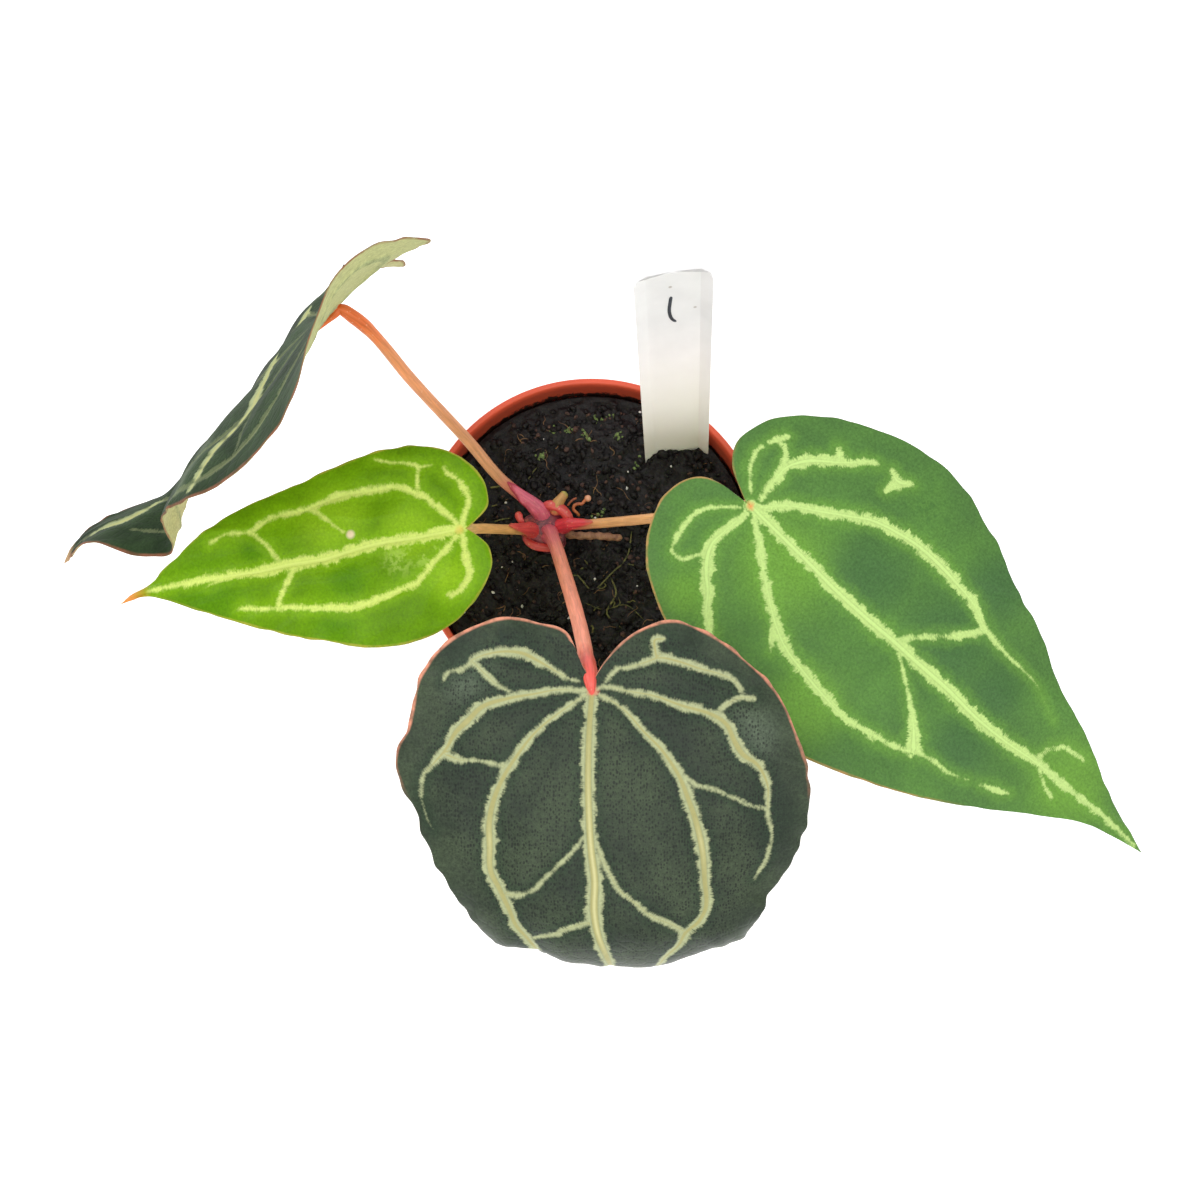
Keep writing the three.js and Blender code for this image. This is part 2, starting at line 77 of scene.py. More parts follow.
# Each leaf: where its stalk ends, the height and number of the edge's waves, the seed of its unevenness, the
# spine rows (distance along the midrib, heading, pitch, roll, rise, left and right curl per 10 mm, in
# degrees), the right and left edge from the notch to the tip, and its veins as (half width at the foot,
# middle and end, points), the five main ones first.
MAIN_VEINS = 5
LEAVES = {
    "front": {
        "at": (0.5, -52, 140),
        "wave": (0.7, 6),
        "seed": 11,
        "spine": [(-20, -91, -4, 0, 5, -3, -3), (0, -91, -10, 0, 3, -3, -3), (30, -90, -22, 0, 0, -3, -3),
                  (50, -87, -31, 3, 0, -5, -6), (63, -81, -63, 12, 0, -6, -7),
                  (74, -89, -96, 9, 0, -9, -12), (88, -86, -115, 4, 0, -3, -2),
                  (108, -84, -112, 0, 0, 0, 0)],
        "right": [(0, -2), (3, -7), (9, -13), (18, -16), (26, -13), (35, -7), (42, 0), (46, 9), (49, 18),
                  (50, 27), (48, 37), (44, 48), (38, 61), (31, 73), (22, 85), (13, 95), (5, 103), (1, 108)],
        "left": [(0, -2), (-3, -7), (-6, -13), (-12, -15), (-19, -16), (-26, -14), (-34, -9), (-39, -2),
                 (-41, 9), (-44, 15), (-43, 22), (-40, 28), (-37, 36), (-32, 46), (-28, 55), (-22, 67),
                 (-15, 80), (-8, 92), (-3, 101), (1, 108)],
        "veins": [
            (1.4, 1.85, 0.6, [(0, 0), (-0.5, 9), (-0.6, 20), (-0.3, 29), (0.1, 36), (0.8, 43), (0.4, 50),
                (0.9, 57), (1.8, 62), (3, 72), (2.6, 86), (1.4, 100)]),
            (0.6, 1.6, 1.0, [(-1, 0.6), (-3, 2), (-12, 9), (-16.7, 15), (-19.7, 20), (-21.7, 25),
                (-22.7, 30), (-22.7, 35), (-22.7, 41), (-20.7, 45), (-18.7, 50), (-17.7, 54), (-15.7, 58),
                (-13.7, 66), (-12.7, 74)]),
            (0.6, 1.6, 0.9, [(0.8, 0.6), (2, 1), (7, 4), (11.7, 9), (15.7, 13), (19.7, 19), (21.7, 24),
                (23.7, 30), (25.2, 37), (25.7, 44), (25.7, 52), (23.7, 56), (20.7, 59), (18.7, 63),
                (15.7, 66), (13.7, 74)]),
            (0.5, 1.5, -0.2, [(-1, 0), (-3, 0), (-8, 0), (-13, 1), (-18.4, 2), (-24.4, 4), (-27.4, 7),
                (-30.4, 10), (-32.4, 13.5), (-35.4, 17), (-37.9, 20), (-38.4, 24), (-37.4, 28),
                (-35.4, 32)]),
            (0.5, 1.45, -0.3, [(1, 0), (2, -0.8), (8, 0), (14, 1), (20, 3), (27, 5), (30, 7), (32, 11),
                (34, 14), (37, 16), (39, 19), (40, 22), (40, 25), (40, 29), (41, 33), (41, 37), (40, 41),
                (38, 46)]),
            (0.4, 1.2, 0.7, [(-3, -2), (-4.5, -2.3), (-7.5, -3.8), (-12, -6.3), (-15.7, -8), (-20, -8.3),
                (-24, -7.5), (-26.7, -6.4)]),
            (0.7, 0.7, 0.5, [(-27, -6.2), (-23.7, -3.1), (-20.7, -0.6), (-18.4, 0.5)]),
            (0.6, 0.5, 0.3, [(-27, -6), (-29, -4.2), (-32, -3.8), (-33.4, -1.5)]),
            (0.4, 0.95, 0.6, [(3, -2), (5, -4.5), (8.8, -5.5), (12.4, -6.7), (14.6, -7.5), (19, -6.8),
                (23.5, -5.4), (28.7, -4.1), (31.8, -2.7), (33, -0.8)]),
            (0.6, 0.7, 0.5, [(36, 1), (33, 1), (30, 2.6), (27.4, 4.9)]),
            (0.9, 1.0, 0.8, [(14.2, -7.6), (13.8, -9.6), (13.8, -11.5), (15.7, -11.7)]),
            (0.6, 0.4, 0.9, [(-19, 17), (-25, 16), (-29, 16), (-32, 15)]),
            (0.5, 0.4, 0.5, [(21, 19), (24, 21), (28, 22), (32, 24), (36, 26), (40, 27)]),
            (0.5, 0.4, 0.7, [(-1, 32), (-4, 36), (-7, 39), (-10, 42), (-13, 45), (-16, 46), (-21, 46)]),
            (0.6, 0.7, 0.7, [(0.5, 33), (4, 41), (6, 45), (10, 49), (14, 53), (18, 56), (21, 59)]),
            (0.7, 0.6, 0.6, [(0, 53), (-5, 54), (-9, 56), (-14, 58)]),
            (0.6, 0.5, 0.3, [(2.6, 72), (6, 78), (9, 86)]),
            (0.6, 0.5, 0.3, [(2, 76), (-2, 82), (-5, 90)]),
            (0.5, 0.5, 0.3, [(40.5, 37), (40.3, 40), (37.7, 46)]),
        ],
    },
    "right": {
        "at": (38.5, -2, 116),
        "wave": (0.5, 4),
        "seed": 23,
        "spine": [(-20, -40, 4, 0, 4, -2, -2), (0, -41, -2, 0, 2, -2, -2), (35, -42, -10, 0, 0, -2, -2),
                  (75, -40, -19, 0, 0, -1, -1), (105, -36, -25, 0, 0, 0, 0), (135, -34, -30, 0, 0, 0, 0)],
        "right": [(0, -1.5), (1.5, -4.5), (5, -10), (10, -12.5), (15, -12), (22, -9), (31, 1), (36, 12),
                  (40, 24), (40, 37), (36, 49), (30, 62), (26, 75), (19, 89), (14, 103), (8, 116), (5, 125),
                  (2, 134)],
        "left": [(0, -1.5), (-0.4, -6), (-1.4, -12), (-4, -15.5), (-10, -17.5), (-18, -16), (-27, -10),
                 (-34, 1), (-38, 13), (-40, 26), (-39, 41), (-36, 51), (-32, 61), (-27, 72), (-20, 84),
                 (-13, 95), (-7, 105), (-2, 115), (0.5, 125), (2, 134)],
        "veins": [
            (1.5, 1.7, 0.5, [(0, 0), (-0.7, 9), (-1.2, 18), (-1.8, 28), (-1.7, 39), (-1.2, 47), (-0.9, 56),
                (-0.6, 65), (-0.7, 76), (0, 85), (1.4, 95), (1.9, 106), (2.5, 118), (2.1, 131)]),
            (1.1, 1.6, -0.4, [(1.3, 2.1), (6.2, 6.9), (10, 13), (13.7, 18.6), (17.3, 24), (19, 29),
                (20.4, 35.6), (20.8, 43), (20.3, 50.3), (19.5, 56.7), (17, 62.4), (16.3, 69), (16.2, 76.2),
                (16, 81), (13.8, 86.2), (12, 91.6)]),
            (0.9, 1.4, 0.1, [(-1, 1.8), (-4, 5.4), (-8.3, 10.4), (-14.3, 18.2), (-18, 23.7), (-20.4, 29.2),
                (-21.8, 37), (-22.6, 44.2), (-22.8, 50.8), (-21.4, 58.2), (-19.3, 65), (-17.7, 68),
                (-16, 72), (-15.4, 78), (-13.2, 83)]),
            (0.8, 1.6, 0.7, [(2.9, 0.8), (7.9, 0.3), (12.9, 0.3), (17.4, 2.8), (20.7, 6.4), (22.7, 8.9),
                (25, 11.3), (27.4, 13.5), (28.9, 16)]),
            (0.8, 1.7, 0.9, [(-2.3, 0.5), (-5.2, -0.2), (-9.5, -0.7), (-13, -1), (-16.3, 0.2), (-19.6, 2.6),
                (-22.9, 6), (-26.8, 9), (-29.6, 13)]),
            (0.6, 1.3, 0.4, [(25, 6.6), (24, 7.9), (21.6, 9)]),
            (0.7, 1.6, 0.5, [(30, 19.8), (29.2, 22.2), (31.3, 25.4)]),
            (1.1, 1.1, 0.6, [(29.2, 22.2), (25.2, 21.8)]),
            (0.2, 0.5, 0.4, [(2.3, -1.8), (4.9, -4.5), (8.4, -6.7), (11.2, -7.6), (13, -7.3)]),
            (0.5, 0.9, 0.6, [(15.2, -6.6), (16.8, -5.8), (19, -4.5)]),
            (0.7, 0.9, 0.6, [(16.7, -4.5), (16.4, -3), (15.2, -1.6), (13, -0.2), (10.2, 1)]),
            (0.1, 0.7, 0.3, [(-2, -1.7), (-5.3, -5.4), (-7.3, -7.3), (-10, -8.8), (-13.3, -9),
                (-17.2, -8.4), (-21, -7), (-21, -4), (-18.3, -2), (-16.7, -0.9)]),
            (0.6, 0.8, 0.4, [(-18, 23), (-20.6, 25), (-23.4, 27)]),
            (0.6, 0.7, 0.9, [(0, 48), (1.2, 49), (5.8, 52.8), (10.4, 57.8), (16.7, 62.6)]),
            (0.5, 0.4, 1.8, [(-1, 48), (-2.8, 50.4), (-5.5, 54.4), (-8.8, 59), (-13, 64.4), (-16.8, 67.8)]),
            (0.6, 0.6, 0.5, [(1.5, 93), (3, 94.2), (6.6, 95.5), (9, 98.4), (9.4, 100.6), (9.8, 104.6)]),
            (0.6, 0.5, 0.4, [(1.5, 93), (1.6, 94.3), (-1, 98.8), (-2.8, 103.3)]),
            (0.3, 0.9, 0.2, [(-12.4, 85.8), (-11.4, 88), (-9.4, 93)]),
        ],
    },
    "left": {
        "at": (-31, -9, 120),
        "wave": (0.5, 3),
        "seed": 37,
        "spine": [(-10, 184, 6, 0, 6, -2, -2), (0, 185, 0, 0, 5, -2, -2), (28, 188, -8, 0, 3, -2, -2),
                  (55, 191, -16, 0, 2, -2, -2), (78, 190, -22, 0, 0, 0, 0), (90, 204, -34, 0, 0, 0, 0)],
        "right": [(0, -1.5), (2, -4), (5, -6.5), (10, -7), (15, -4.5), (22, 2), (26, 12), (26, 24),
                  (23, 34), (19, 45), (13, 57), (8, 66), (4.4, 72.5), (1.5, 78.5), (0.4, 82.5), (0, 86),
                  (-0.5, 89)],
        "left": [(0, -1.5), (-2, -4), (-5, -6.8), (-9, -7), (-15, -4), (-20, 2), (-22, 11), (-21, 20),
                 (-19, 29), (-16.5, 41), (-14, 54), (-10, 65), (-5.6, 73), (-2.6, 78.5), (-1.5, 82.5),
                 (-1.1, 86), (-0.5, 89)],
        "veins": [
            (1.3, 1.6, 0.4, [(0, 0), (0.9, 9), (1.1, 15), (1.4, 21), (2.1, 27), (2.8, 33), (2.3, 43),
                (2.2, 49), (1.4, 55), (0.7, 62), (0.3, 68), (0, 75), (-0.2, 80)]),
            (0.7, 1, 0.3, [(-0.8, 0.6), (-2, 1), (-5, 4), (-8, 7), (-10, 10), (-12, 14), (-12, 18),
                (-12, 23), (-12, 27), (-11, 32), (-10, 36), (-10, 41), (-10, 45), (-8, 50), (-9, 57),
                (-8, 61)]),
            (0.7, 1, 0.3, [(0.8, 0.6), (1.5, 1), (3, 2), (6, 5), (9, 8), (12, 11), (13, 14), (14, 18),
                (15, 22), (16, 27), (15, 32), (14, 37), (13, 42), (12, 47), (11, 52), (10, 56)]),
            (0.6, 0.8, 0.5, [(-1.5, -0.6), (-4.2, -1.7), (-7.3, -2.5), (-9.5, -1.8), (-12.2, -0.2),
                (-14, 2), (-15.2, 2.5)]),
            (0.6, 0.9, 0.6, [(1, -0.2), (2, -0.6), (5.2, -0.7), (8.5, -1.1), (11, -1.6), (13, -0.8),
                (15.2, 1.2), (16.2, 3.7)]),
            (0.5, 0.5, 0.5, [(1.6, 44), (-1.7, 45.6), (-4.8, 47.7), (-7.9, 50)]),
            (0.5, 0.6, 0.7, [(1.8, 38), (4, 41), (6.7, 42.8), (8.8, 44.4), (11.7, 46)]),
            (0.6, 0.4, 0.2, [(-9.7, 34.2), (-7.4, 32), (-5, 29.8), (-3, 27.8)]),
            (0.4, 0.35, 0.2, [(-10.4, 9.3), (-14, 8.9), (-16, 8.5), (-17.4, 11), (-18.2, 15),
                (-19.4, 18.4)]),
            (0.3, 0.3, 0.2, [(-16.2, 8.5), (-16.3, 5.5)]),
            (0.3, 0.3, 0.2, [(2.3, 63.8), (1.5, 60.9), (0.2, 58)]),
        ],
    },
    "back": {
        "at": (-60, 40.5, 138),
        "wave": (0.5, 4),
        "seed": 51,
        "spine": [(-24, 206, 5, 69, -4, 2, 3), (-6, 218, -12, 63, 6.5, -1.5, 1.5),
                  (6, 213, -31, 63, 1, 0, -5.4), (22, 208, -44, 51, 0, -2, -1.7),
                  (45, 212, -55, 67, 5, 2, -8.2), (64, 216, -46, 69, 3, 1, -7),
                  (77, 210, -35, 38, -5, -13.4, 7), (88, 196, -17, 54, 0, -11.4, -15.5),
                  (102, 192, -26, 54, 0, -1.5, 1.6), (124, 225, -65, 40, 0, 0, 0)],
        "right": [(0, -2.5), (1, -4.5), (6, -13), (14, -21), (25, -23), (36, -16), (42, -4), (43, 12),
                  (41, 28), (36, 45), (30, 62), (24, 77), (18, 92), (9, 106), (3, 116), (0, 124)],
        "left": [(0, -2.5), (-1, -4.5), (-6, -13), (-14, -21), (-25, -23), (-36, -16), (-42, -4), (-43, 12),
                 (-41, 28), (-36, 45), (-29, 62), (-22, 77), (-15, 92), (-8, 105), (-3, 116), (0, 124)],
        "veins": [
            (1.6, 1.4, 0.4, [(0, 0), (0.2, 20), (0, 40), (-1.5, 52), (-2.6, 60), (-1.2, 64), (2, 69),
                (1.5, 78), (-2.6, 85), (-2, 90), (0.3, 94), (1.4, 99), (2.6, 104), (1.6, 113), (0, 121)]),
            (0.8, 1.4, 0.6, [(0.8, 0.8), (6, 5), (13, 14), (19, 26), (22, 40), (21, 54), (18, 68), (14, 80),
                (10, 90)]),
            (0.8, 1.3, 0.6, [(-0.8, 0.8), (-7, 5), (-13, 11), (-18, 17), (-21, 21), (-19, 23), (-16.6, 30),
                (-17, 36), (-17.2, 42), (-18, 47), (-17.6, 54), (-17.6, 60), (-16, 66), (-13, 75),
                (-10, 85)]),
            (0.7, 1.3, 0.5, [(1, 0), (9, -1), (18, 1), (27, 7), (33, 17), (35, 29), (33, 42), (30, 53)]),
            (0.7, 1.3, 0.5, [(-1, 0), (-9, -1), (-18, 1), (-27, 7), (-33, 17), (-35, 29), (-33, 42),
                (-30, 52)]),
            (0.6, 1, 0.5, [(1, -2), (6, -8), (14, -13), (23, -14), (31, -9), (33, -2), (28, 4)]),
            (0.6, 1, 0.5, [(-1, -2), (-6, -8), (-14, -13), (-23, -14), (-31, -9), (-33, -2), (-28, 4)]),
            (0.6, 0.5, 0.7, [(0.2, 32), (7, 40), (14, 47), (21, 53)]),
            (0.6, 0.5, 0.7, [(0, 36), (-7, 44), (-14, 52), (-20, 58)]),
            (0.6, 0.5, 0.6, [(0.3, 62), (6, 70), (13, 82)]),
            (0.6, 0.5, 0.6, [(0.2, 66), (-6, 74), (-12, 85)]),
            (0.5, 0.4, 0.5, [(17, 21), (24, 22), (34, 23)]),
            (0.5, 0.4, 0.5, [(-17, 21), (-24, 22), (-34, 23)]),
            (1.6, 2.8, 1.2, [(-3, 24), (1, 24), (5, 23), (9, 22.8), (13, 22.8), (17, 22.6), (20, 24.4),
                (23, 27.2), (25.6, 31), (29, 32.6), (32.5, 34), (36, 35.6)]),
            (1.8, 2.6, 1.4, [(-23, 21.5), (-18, 21.5), (-15.5, 24.5)]),
            (1.6, 2.4, 1.2, [(-2.5, 87), (0.8, 90.5), (3, 94.5), (3.4, 99), (4, 103.5)]),
        ],
    },
}

# How each blade is finished. Colours: dark and mid between the veins, glow beside them (halo is its share),
# lifted and shade in the lighter and darker patches, under for the lower face, pale and line for the bands
# and their middle, the painted highlight along the midrib's top, margin, sinus at the notch (flush mm out)
# and the dry tip from tip_at on. mottle is how far the grain darkens and lightens. Of the bands: the half
# width `from` which the middle line starts and its growth (core), the strength of the painted shade in the
# creases beside the main veins, the length of the teeth (jag), the soft edge, and how clearly they show, also
# in the speck patches (lit). The warm margin is margin_mm wide and fades along `way`: a direction on the flat
# leaf and two distances along it. dots (pits), rough, spec, coat and sheen are the surface; quilt, groove and
# ripple are heights of the face, nick and frill of the edge, in mm. Then where noise starts to fill the speck
# patches, how strongly, and its colour: dark specks on the front and right blades, pale flecks on the left
# one that are painted glints. scar is a pinprick. Last the lighter, darker and speck patches (x, y, radius):
# the lighter ones are painted sheen on the front and back blades, paler tissue and painted sheen on the
# others; the darker ones are deeper green and partly painted shade.
USUAL_LOOK = {"coat": 0.0, "sheen": 0.0, "dots": 0.0, "show": 1.0, "lit": 0.0, "jag": 1.5, "tip_at": 200,
              "from": 0.85, "core": 0.62}
LOOKS = {
    "front": {
        "dark": "#263123", "mid": "#394530", "pale": "#a6ac80", "glow": "#213420", "halo": 0.6,
        "lifted": "#55624f", "shade": "#1f2d1e", "under": "#9fae86", "mottle": (0.58, 1.4),
        "line": "#a19a5e", "from": 0.6, "core": 0.68, "crest_highlight": "#cdc890", "crease_shade": 0.3, "jag": 1.25,
        # The margin's pale salmon is partly a painted highlight along the lobes' edge.
        "soft": 0.42, "margin": "#e49678", "margin_mm": 0.5, "way": (0, 1, 8, 26), "sinus": "#e0655a",
        "flush": 0.3, "tip": "#3c4d44", "dots": 0.8, "rough": 0.5, "spec": 0.34, "sheen": 0.1, "quilt": 0.5,
        "groove": 0.3, "ripple": 0.25, "nick": 0.42, "frill": 0.6, "specks_and_glints": (0.5, 0.75, "#1c2a20"),
        # The lighter patches are painted sheen on the lobes; the darker ones deeper green, partly painted
        # shade.
        "sheen_and_pale": [(36, 9, 6), (-28, -3, 6)],
        "deep": [(24, 1, 6), (42, 30, 7), (-31, -9, 5), (-16, -10, 6), (20, -10, 6)],
        "speck": [(-21.7, -11.3, 2.6), (-8.4, -11.9, 2)],
    },
    "right": {
        "dark": "#4a7035", "mid": "#537d37", "pale": "#b6d27c", "glow": "#6c9c38", "halo": 0.42,
        "lifted": "#6f9f34", "shade": "#406436", "under": "#9cc07a", "mottle": (0.78, 1.2),
        "line": "#bedb84", "from": 0.95, "core": 0.6, "crease_shade": 0.2, "jag": 1.6, "soft": 0.38,
        "margin": "#b98a55", "margin_mm": 0.35, "way": (1, 0.3, -6, 8), "sinus": "#dc8a4e", "flush": 0.2,
        "tip": "#5d9a3a", "rough": 0.46, "spec": 0.24, "sheen": 0.04, "quilt": 0.55, "groove": 0.25,
        "ripple": 0.3, "nick": 0.2, "frill": 0.35, "specks_and_glints": (0.54, 0.35, "#355a2c"),
        "sheen_and_pale": [(-6, 16, 13), (-27, 2, 6), (3, 106, 12), (-27, 42, 9)],
        "deep": [(6, 32, 10), (8, 58, 13), (7, 74, 8), (-9, 76, 8), (27, 58, 8)],
        "speck": [(30, 33, 7), (20, 28, 4)],
    },
    "left": {
        "dark": "#5a8408", "mid": "#6a980a", "pale": "#c9da6e", "glow": "#80ae14", "halo": 0.5,
        "lifted": "#98c226", "shade": "#4c7c04", "under": "#b4cf72", "mottle": (0.82, 1.16),
        "line": "#cfde78", "crease_shade": 0.1, "soft": 0.5, "margin": "#a8a03c", "margin_mm": 0.35,
        "way": (0, 1, 60, 90), "sinus": "#d6c860", "flush": 0.4, "tip": "#d88a3c", "tip_at": 82,
        "scar": (-2, 26), "rough": 0.36, "spec": 0.08, "coat": 0.04, "quilt": 0.8, "groove": 0.35,
        # The pale flecks in its speck patches are painted glints.
        "ripple": 0.32, "nick": 0.28, "frill": 0.45, "specks_and_glints": (0.52, 0.3, "#c8e070"),
        "sheen_and_pale": [(-6, 30, 8), (0, 12, 7), (12, 3, 5)],
        "deep": [(5, 64, 10), (18, 32, 6), (9, 28, 5), (-3, 50, 4)],
        "speck": [(5, 9, 4), (6, 15, 4)],
    },
    "back": {
        "dark": "#212f1c", "mid": "#36482d", "pale": "#a4ac7c", "glow": "#31442a", "halo": 0.15,
        "lifted": "#68745c", "shade": "#18220f", "under": "#b9bc84", "mottle": (0.74, 1.22),
        "line": "#b4b478", "crease_shade": 0.0, "soft": 0.3, "show": 0.25, "lit": 1.3, "margin": "#8c5a44",
        "margin_mm": 0.6, "way": (0, 1, 130, 140), "sinus": "#d8703c", "flush": 1.0, "tip": "#b08e66",
        "tip_at": 117, "dots": 0.35, "rough": 0.6, "spec": 0.06, "quilt": 0.5, "groove": 0.3, "ripple": 0.3,
        "nick": 0.25, "frill": 0.3,
        # The lighter patches are a painted sheen strip.
        "sheen_and_pale": [(19, 40, 3), (23, 40.5, 3), (27, 41.5, 3), (31, 42.5, 3)],
        "deep": [(-10, 70, 12)],
        "speck": [(-22, 21.5, 3), (-18, 21.5, 3), (-15.5, 24.5, 2.4), (-3, 24, 2.8), (1, 24, 3),
                 (5, 23, 3.3), (9, 22.8, 3.4), (13, 22.8, 3.4), (17, 22.6, 3), (20, 24.4, 2),
                 (23, 27.2, 1.7), (25.6, 31, 2.2), (29, 32.6, 2), (32.5, 34, 1.8), (36, 35.6, 1.6),
                 (-2.5, 87, 2.4), (0.8, 90.5, 2.8), (3, 94.5, 3), (3.4, 99, 3), (4, 103.5, 2.6),
                 (16.6, 83, 1.6)],
    },
}

# Stalks: radius, points from the crown to the blade, and colours at the crown, along it and at the blade.
STALKS = {
    "front": (1.85, [(-11.3, 3, 74), (-10.6, 1, 80.5), (-9, -4, 87), (-7, -12, 95), (-3.8, -26, 111),
                     (-1.6, -38, 126.2), (-0.4, -47.2, 138), (0.1, -50.4, 140.3)],
              ("#cc6272", "#d88468", "#ee9478", "#e25c50")),
    "right": (1.3, [(-11, 4, 73), (-7.7, 4.5, 76), (-0.3, 3.1, 83), (16, 0.3, 98), (26.7, -0.8, 106.5),
                    (35.5, -1, 112.3), (39, -2, 114.9)],
              ("#cf4552", "#dca26c", "#cf8a5c")),
    "left": (1.3, [(-12, 4, 73), (-15.2, 3.4, 76), (-17.9, 2, 81.5), (-23, -1.1, 93), (-27.6, -5, 107),
                   (-30, -8, 116), (-31.1, -9.1, 119)],
             ("#cf4552", "#dca964", "#d4b06c")),
    "back": (1.5, [(-11.3, 5, 73), (-13.4, 8.2, 77), (-18.4, 10.9, 83), (-23.3, 13.6, 89),
                   (-30.4, 19.4, 100), (-43.8, 29.2, 120), (-52.2, 36.6, 131.5), (-55.6, 38.6, 135),
                   (-59.2, 39.9, 137.2)],
             ("#c04a62", "#cd9266", "#da8c58", "#dc6c30")),
}
# The keel under a blade: distance along the midrib and height above it; and the stalk's girth as a share,
# by the distance from its end.
KEEL = [(1, -1.5), (4, -1.3), (10, -0.85), (17, -0.65)]
TAPER = [(-4, 1), (-1.5, 0.9), (0, 0.72), (1.6, 0.52), (5, 0.44), (11, 0.34), (18, 0.2)]
# How much higher the front stalk ends, on top of its blade's notch.
OVER = {"front": 0.45}

# The crown's rhizome as (height, radius), its roots in the mix, and the root that lies on the mix.
RHIZOME = [(40, 0.6), (41, 2.4), (48, 4), (56, 4.4), (58, 4), (64, 4.8), (66, 4.6), (70, 5.5), (73.5, 6),
           (76, 5.4), (77.2, 3.6), (77.8, 0.4)]
ROOTS = [
    [(-11.3, 4, 58), (-4, 0, 55), (5, -6, 48), (10, -12, 34), (12, -14, 20)],
    [(-11.3, 4, 54), (-18, 8, 50), (-24, 13, 40), (-26, 15, 24)],
    [(-11.3, 4, 50), (-14, -3, 46), (-17, -12, 36), (-16, -18, 22)],
    [(-11.3, 4, 46), (-8, 10, 40), (-2, 17, 30), (2, 20, 16)],
]
AERIAL_ROOT = [(-8.5, 3.8, 72), (-4, 3.2, 72), (1, 3.1, 71.8), (8.2, 2.6, 71.6)]

# Sheaths round the feet of three stalks: how far each reaches along its stalk on the upper and the under
# side, how much its edge flares, mm, its colours from the crown to its edge, and its bulges as (length along
# the stalk, angle round it from its upper side, height, spread).
SHEATHS = {
    "left": (20.5, 8, 0.2, ("#b83a48", "#d8504a", "#d4604c"), [(8, 0.5, 0.35, 2)]),
    "right": (17, 6, 0.15, ("#d8404e", "#d8404a", "#cc5c4c"), [(8.5, 0.2, 0.7, 1.9)]),
    # The back sheath's darkest red, at its edge, is painted shadow.
    "back": (20.5, 7, 0.12, ("#c45068", "#d86a80", "#a83448"),
             [(8.5, -0.9, 0.6, 1.7), (13.5, -0.9, 0.65, 2.1)]),
}

# What lies on the mix, as (x, y) places: long strands, white grit, green tufts and tan bits.
LITTER = {
    "strands": [
        [(-8.3, -9.6), (-4.3, -6.9), (0.2, -11), (4.9, -6.9), (8.1, -4.4), (15.4, -6.1)],
        [(8.1, -4.4), (9.6, -1.4), (10.7, 5.4)],
        [(4.9, -6.9), (6.5, -12), (4, -17), (8, -21)],
        [(-2, -14), (3, -16), (9, -15), (14, -19)],
        [(-17.3, 17.5), (-16.9, 19.1), (-16.1, 20.6), (-14.5, 22.3)],
        [(-25.7, 7.5), (-23.8, 8), (-21.2, 8.3)],
        [(-26.4, 11.5), (-25.3, 12), (-24.6, 13.5)],
        [(-27, 16.9), (-25.6, 17), (-24.1, 17.2)],
    ],
    "grit": [(9.4, 16.9), (9.7, 21.3), (-23.5, -4.9), (-25.8, -11.6), (-19.5, -10.3), (-20.9, -3.2),
             (2.9, 11), (1, 8.5), (-22.8, 13.1), (-3.5, 26.5), (12, -10), (-6, -18)],
    "tufts": [(-10.1, 32.6), (-5.2, 32.9), (-1.8, 31.2), (7.1, 30.9), (-12.4, 26.1), (12.7, 23.6),
              (2.8, 10.8), (0.7, 8.6), (1.7, 36), (4.9, 37.4), (-13.8, 24.7)],
    "bits": [(-4.4, 29.5), (-23, 13.6), (-11.6, 16.6), (-0.7, 28.9), (-19.1, 29.5), (-4.9, -3), (-13, -5),
             (14, 12)],
}


# Shapes ------------------------------------------------------------------------------------------------


def smooth(rows, x):
    """Cubic curve through the rows (station, values...) at every x; each row's slope is the mean of the
    slopes to its neighbours."""
    rows = np.asarray(rows, float)
    s, v = rows[:, 0], rows[:, 1:]
    rise = np.diff(v, axis=0) / np.diff(s)[:, None]
    slope = np.vstack([rise[:1], (rise[1:] + rise[:-1]) / 2, rise[-1:]])
    x = np.clip(x, s[0], s[-1])
    i = np.clip(np.searchsorted(s, x, side="right") - 1, 0, len(s) - 2)
    h = (s[i + 1] - s[i])[:, None]
    t = (x - s[i])[:, None] / h
    a, b = 2 * t**3 - 3 * t**2 + 1, t**3 - 2 * t**2 + t
    c, d = 3 * t**2 - 2 * t**3, t**3 - t**2
    return a * v[i] + b * h * slope[i] + c * v[i + 1] + d * h * slope[i + 1]


def resample(points, count):
    """count + 1 points evenly spaced by chord length along the smooth curve through the points."""
    points = np.asarray(points, float)
    length = np.concatenate([[0], np.cumsum(np.linalg.norm(np.diff(points, axis=0), axis=1))])
    return smooth(np.column_stack([length, points]), np.linspace(0, length[-1], count + 1))


def noise(x, y, size, seed):
    """Value noise from -1 to 1: random heights on a square lattice of spacing size, blended between with
    the smooth step 3t^2 - 2t^3."""
    table = np.random.default_rng(seed).uniform(-1, 1, (64, 64))
    u, v = np.asarray(x) / size + 400, np.asarray(y) / size + 400
    i, j = np.floor(u).astype(int), np.floor(v).astype(int)
    a, b = u - i, v - j
    a, b = a * a * (3 - 2 * a), b * b * (3 - 2 * b)
    low = table[i % 64, j % 64] * (1 - a) + table[(i + 1) % 64, j % 64] * a
    high = table[i % 64, (j + 1) % 64] * (1 - a) + table[(i + 1) % 64, (j + 1) % 64] * a
    return low * (1 - b) + high * b


def direction(heading, pitch):
    """Unit vectors of a heading about +Z and a pitch above the horizon, in radians."""
    return np.column_stack([np.cos(heading) * np.cos(pitch), np.sin(heading) * np.cos(pitch), np.sin(pitch)])


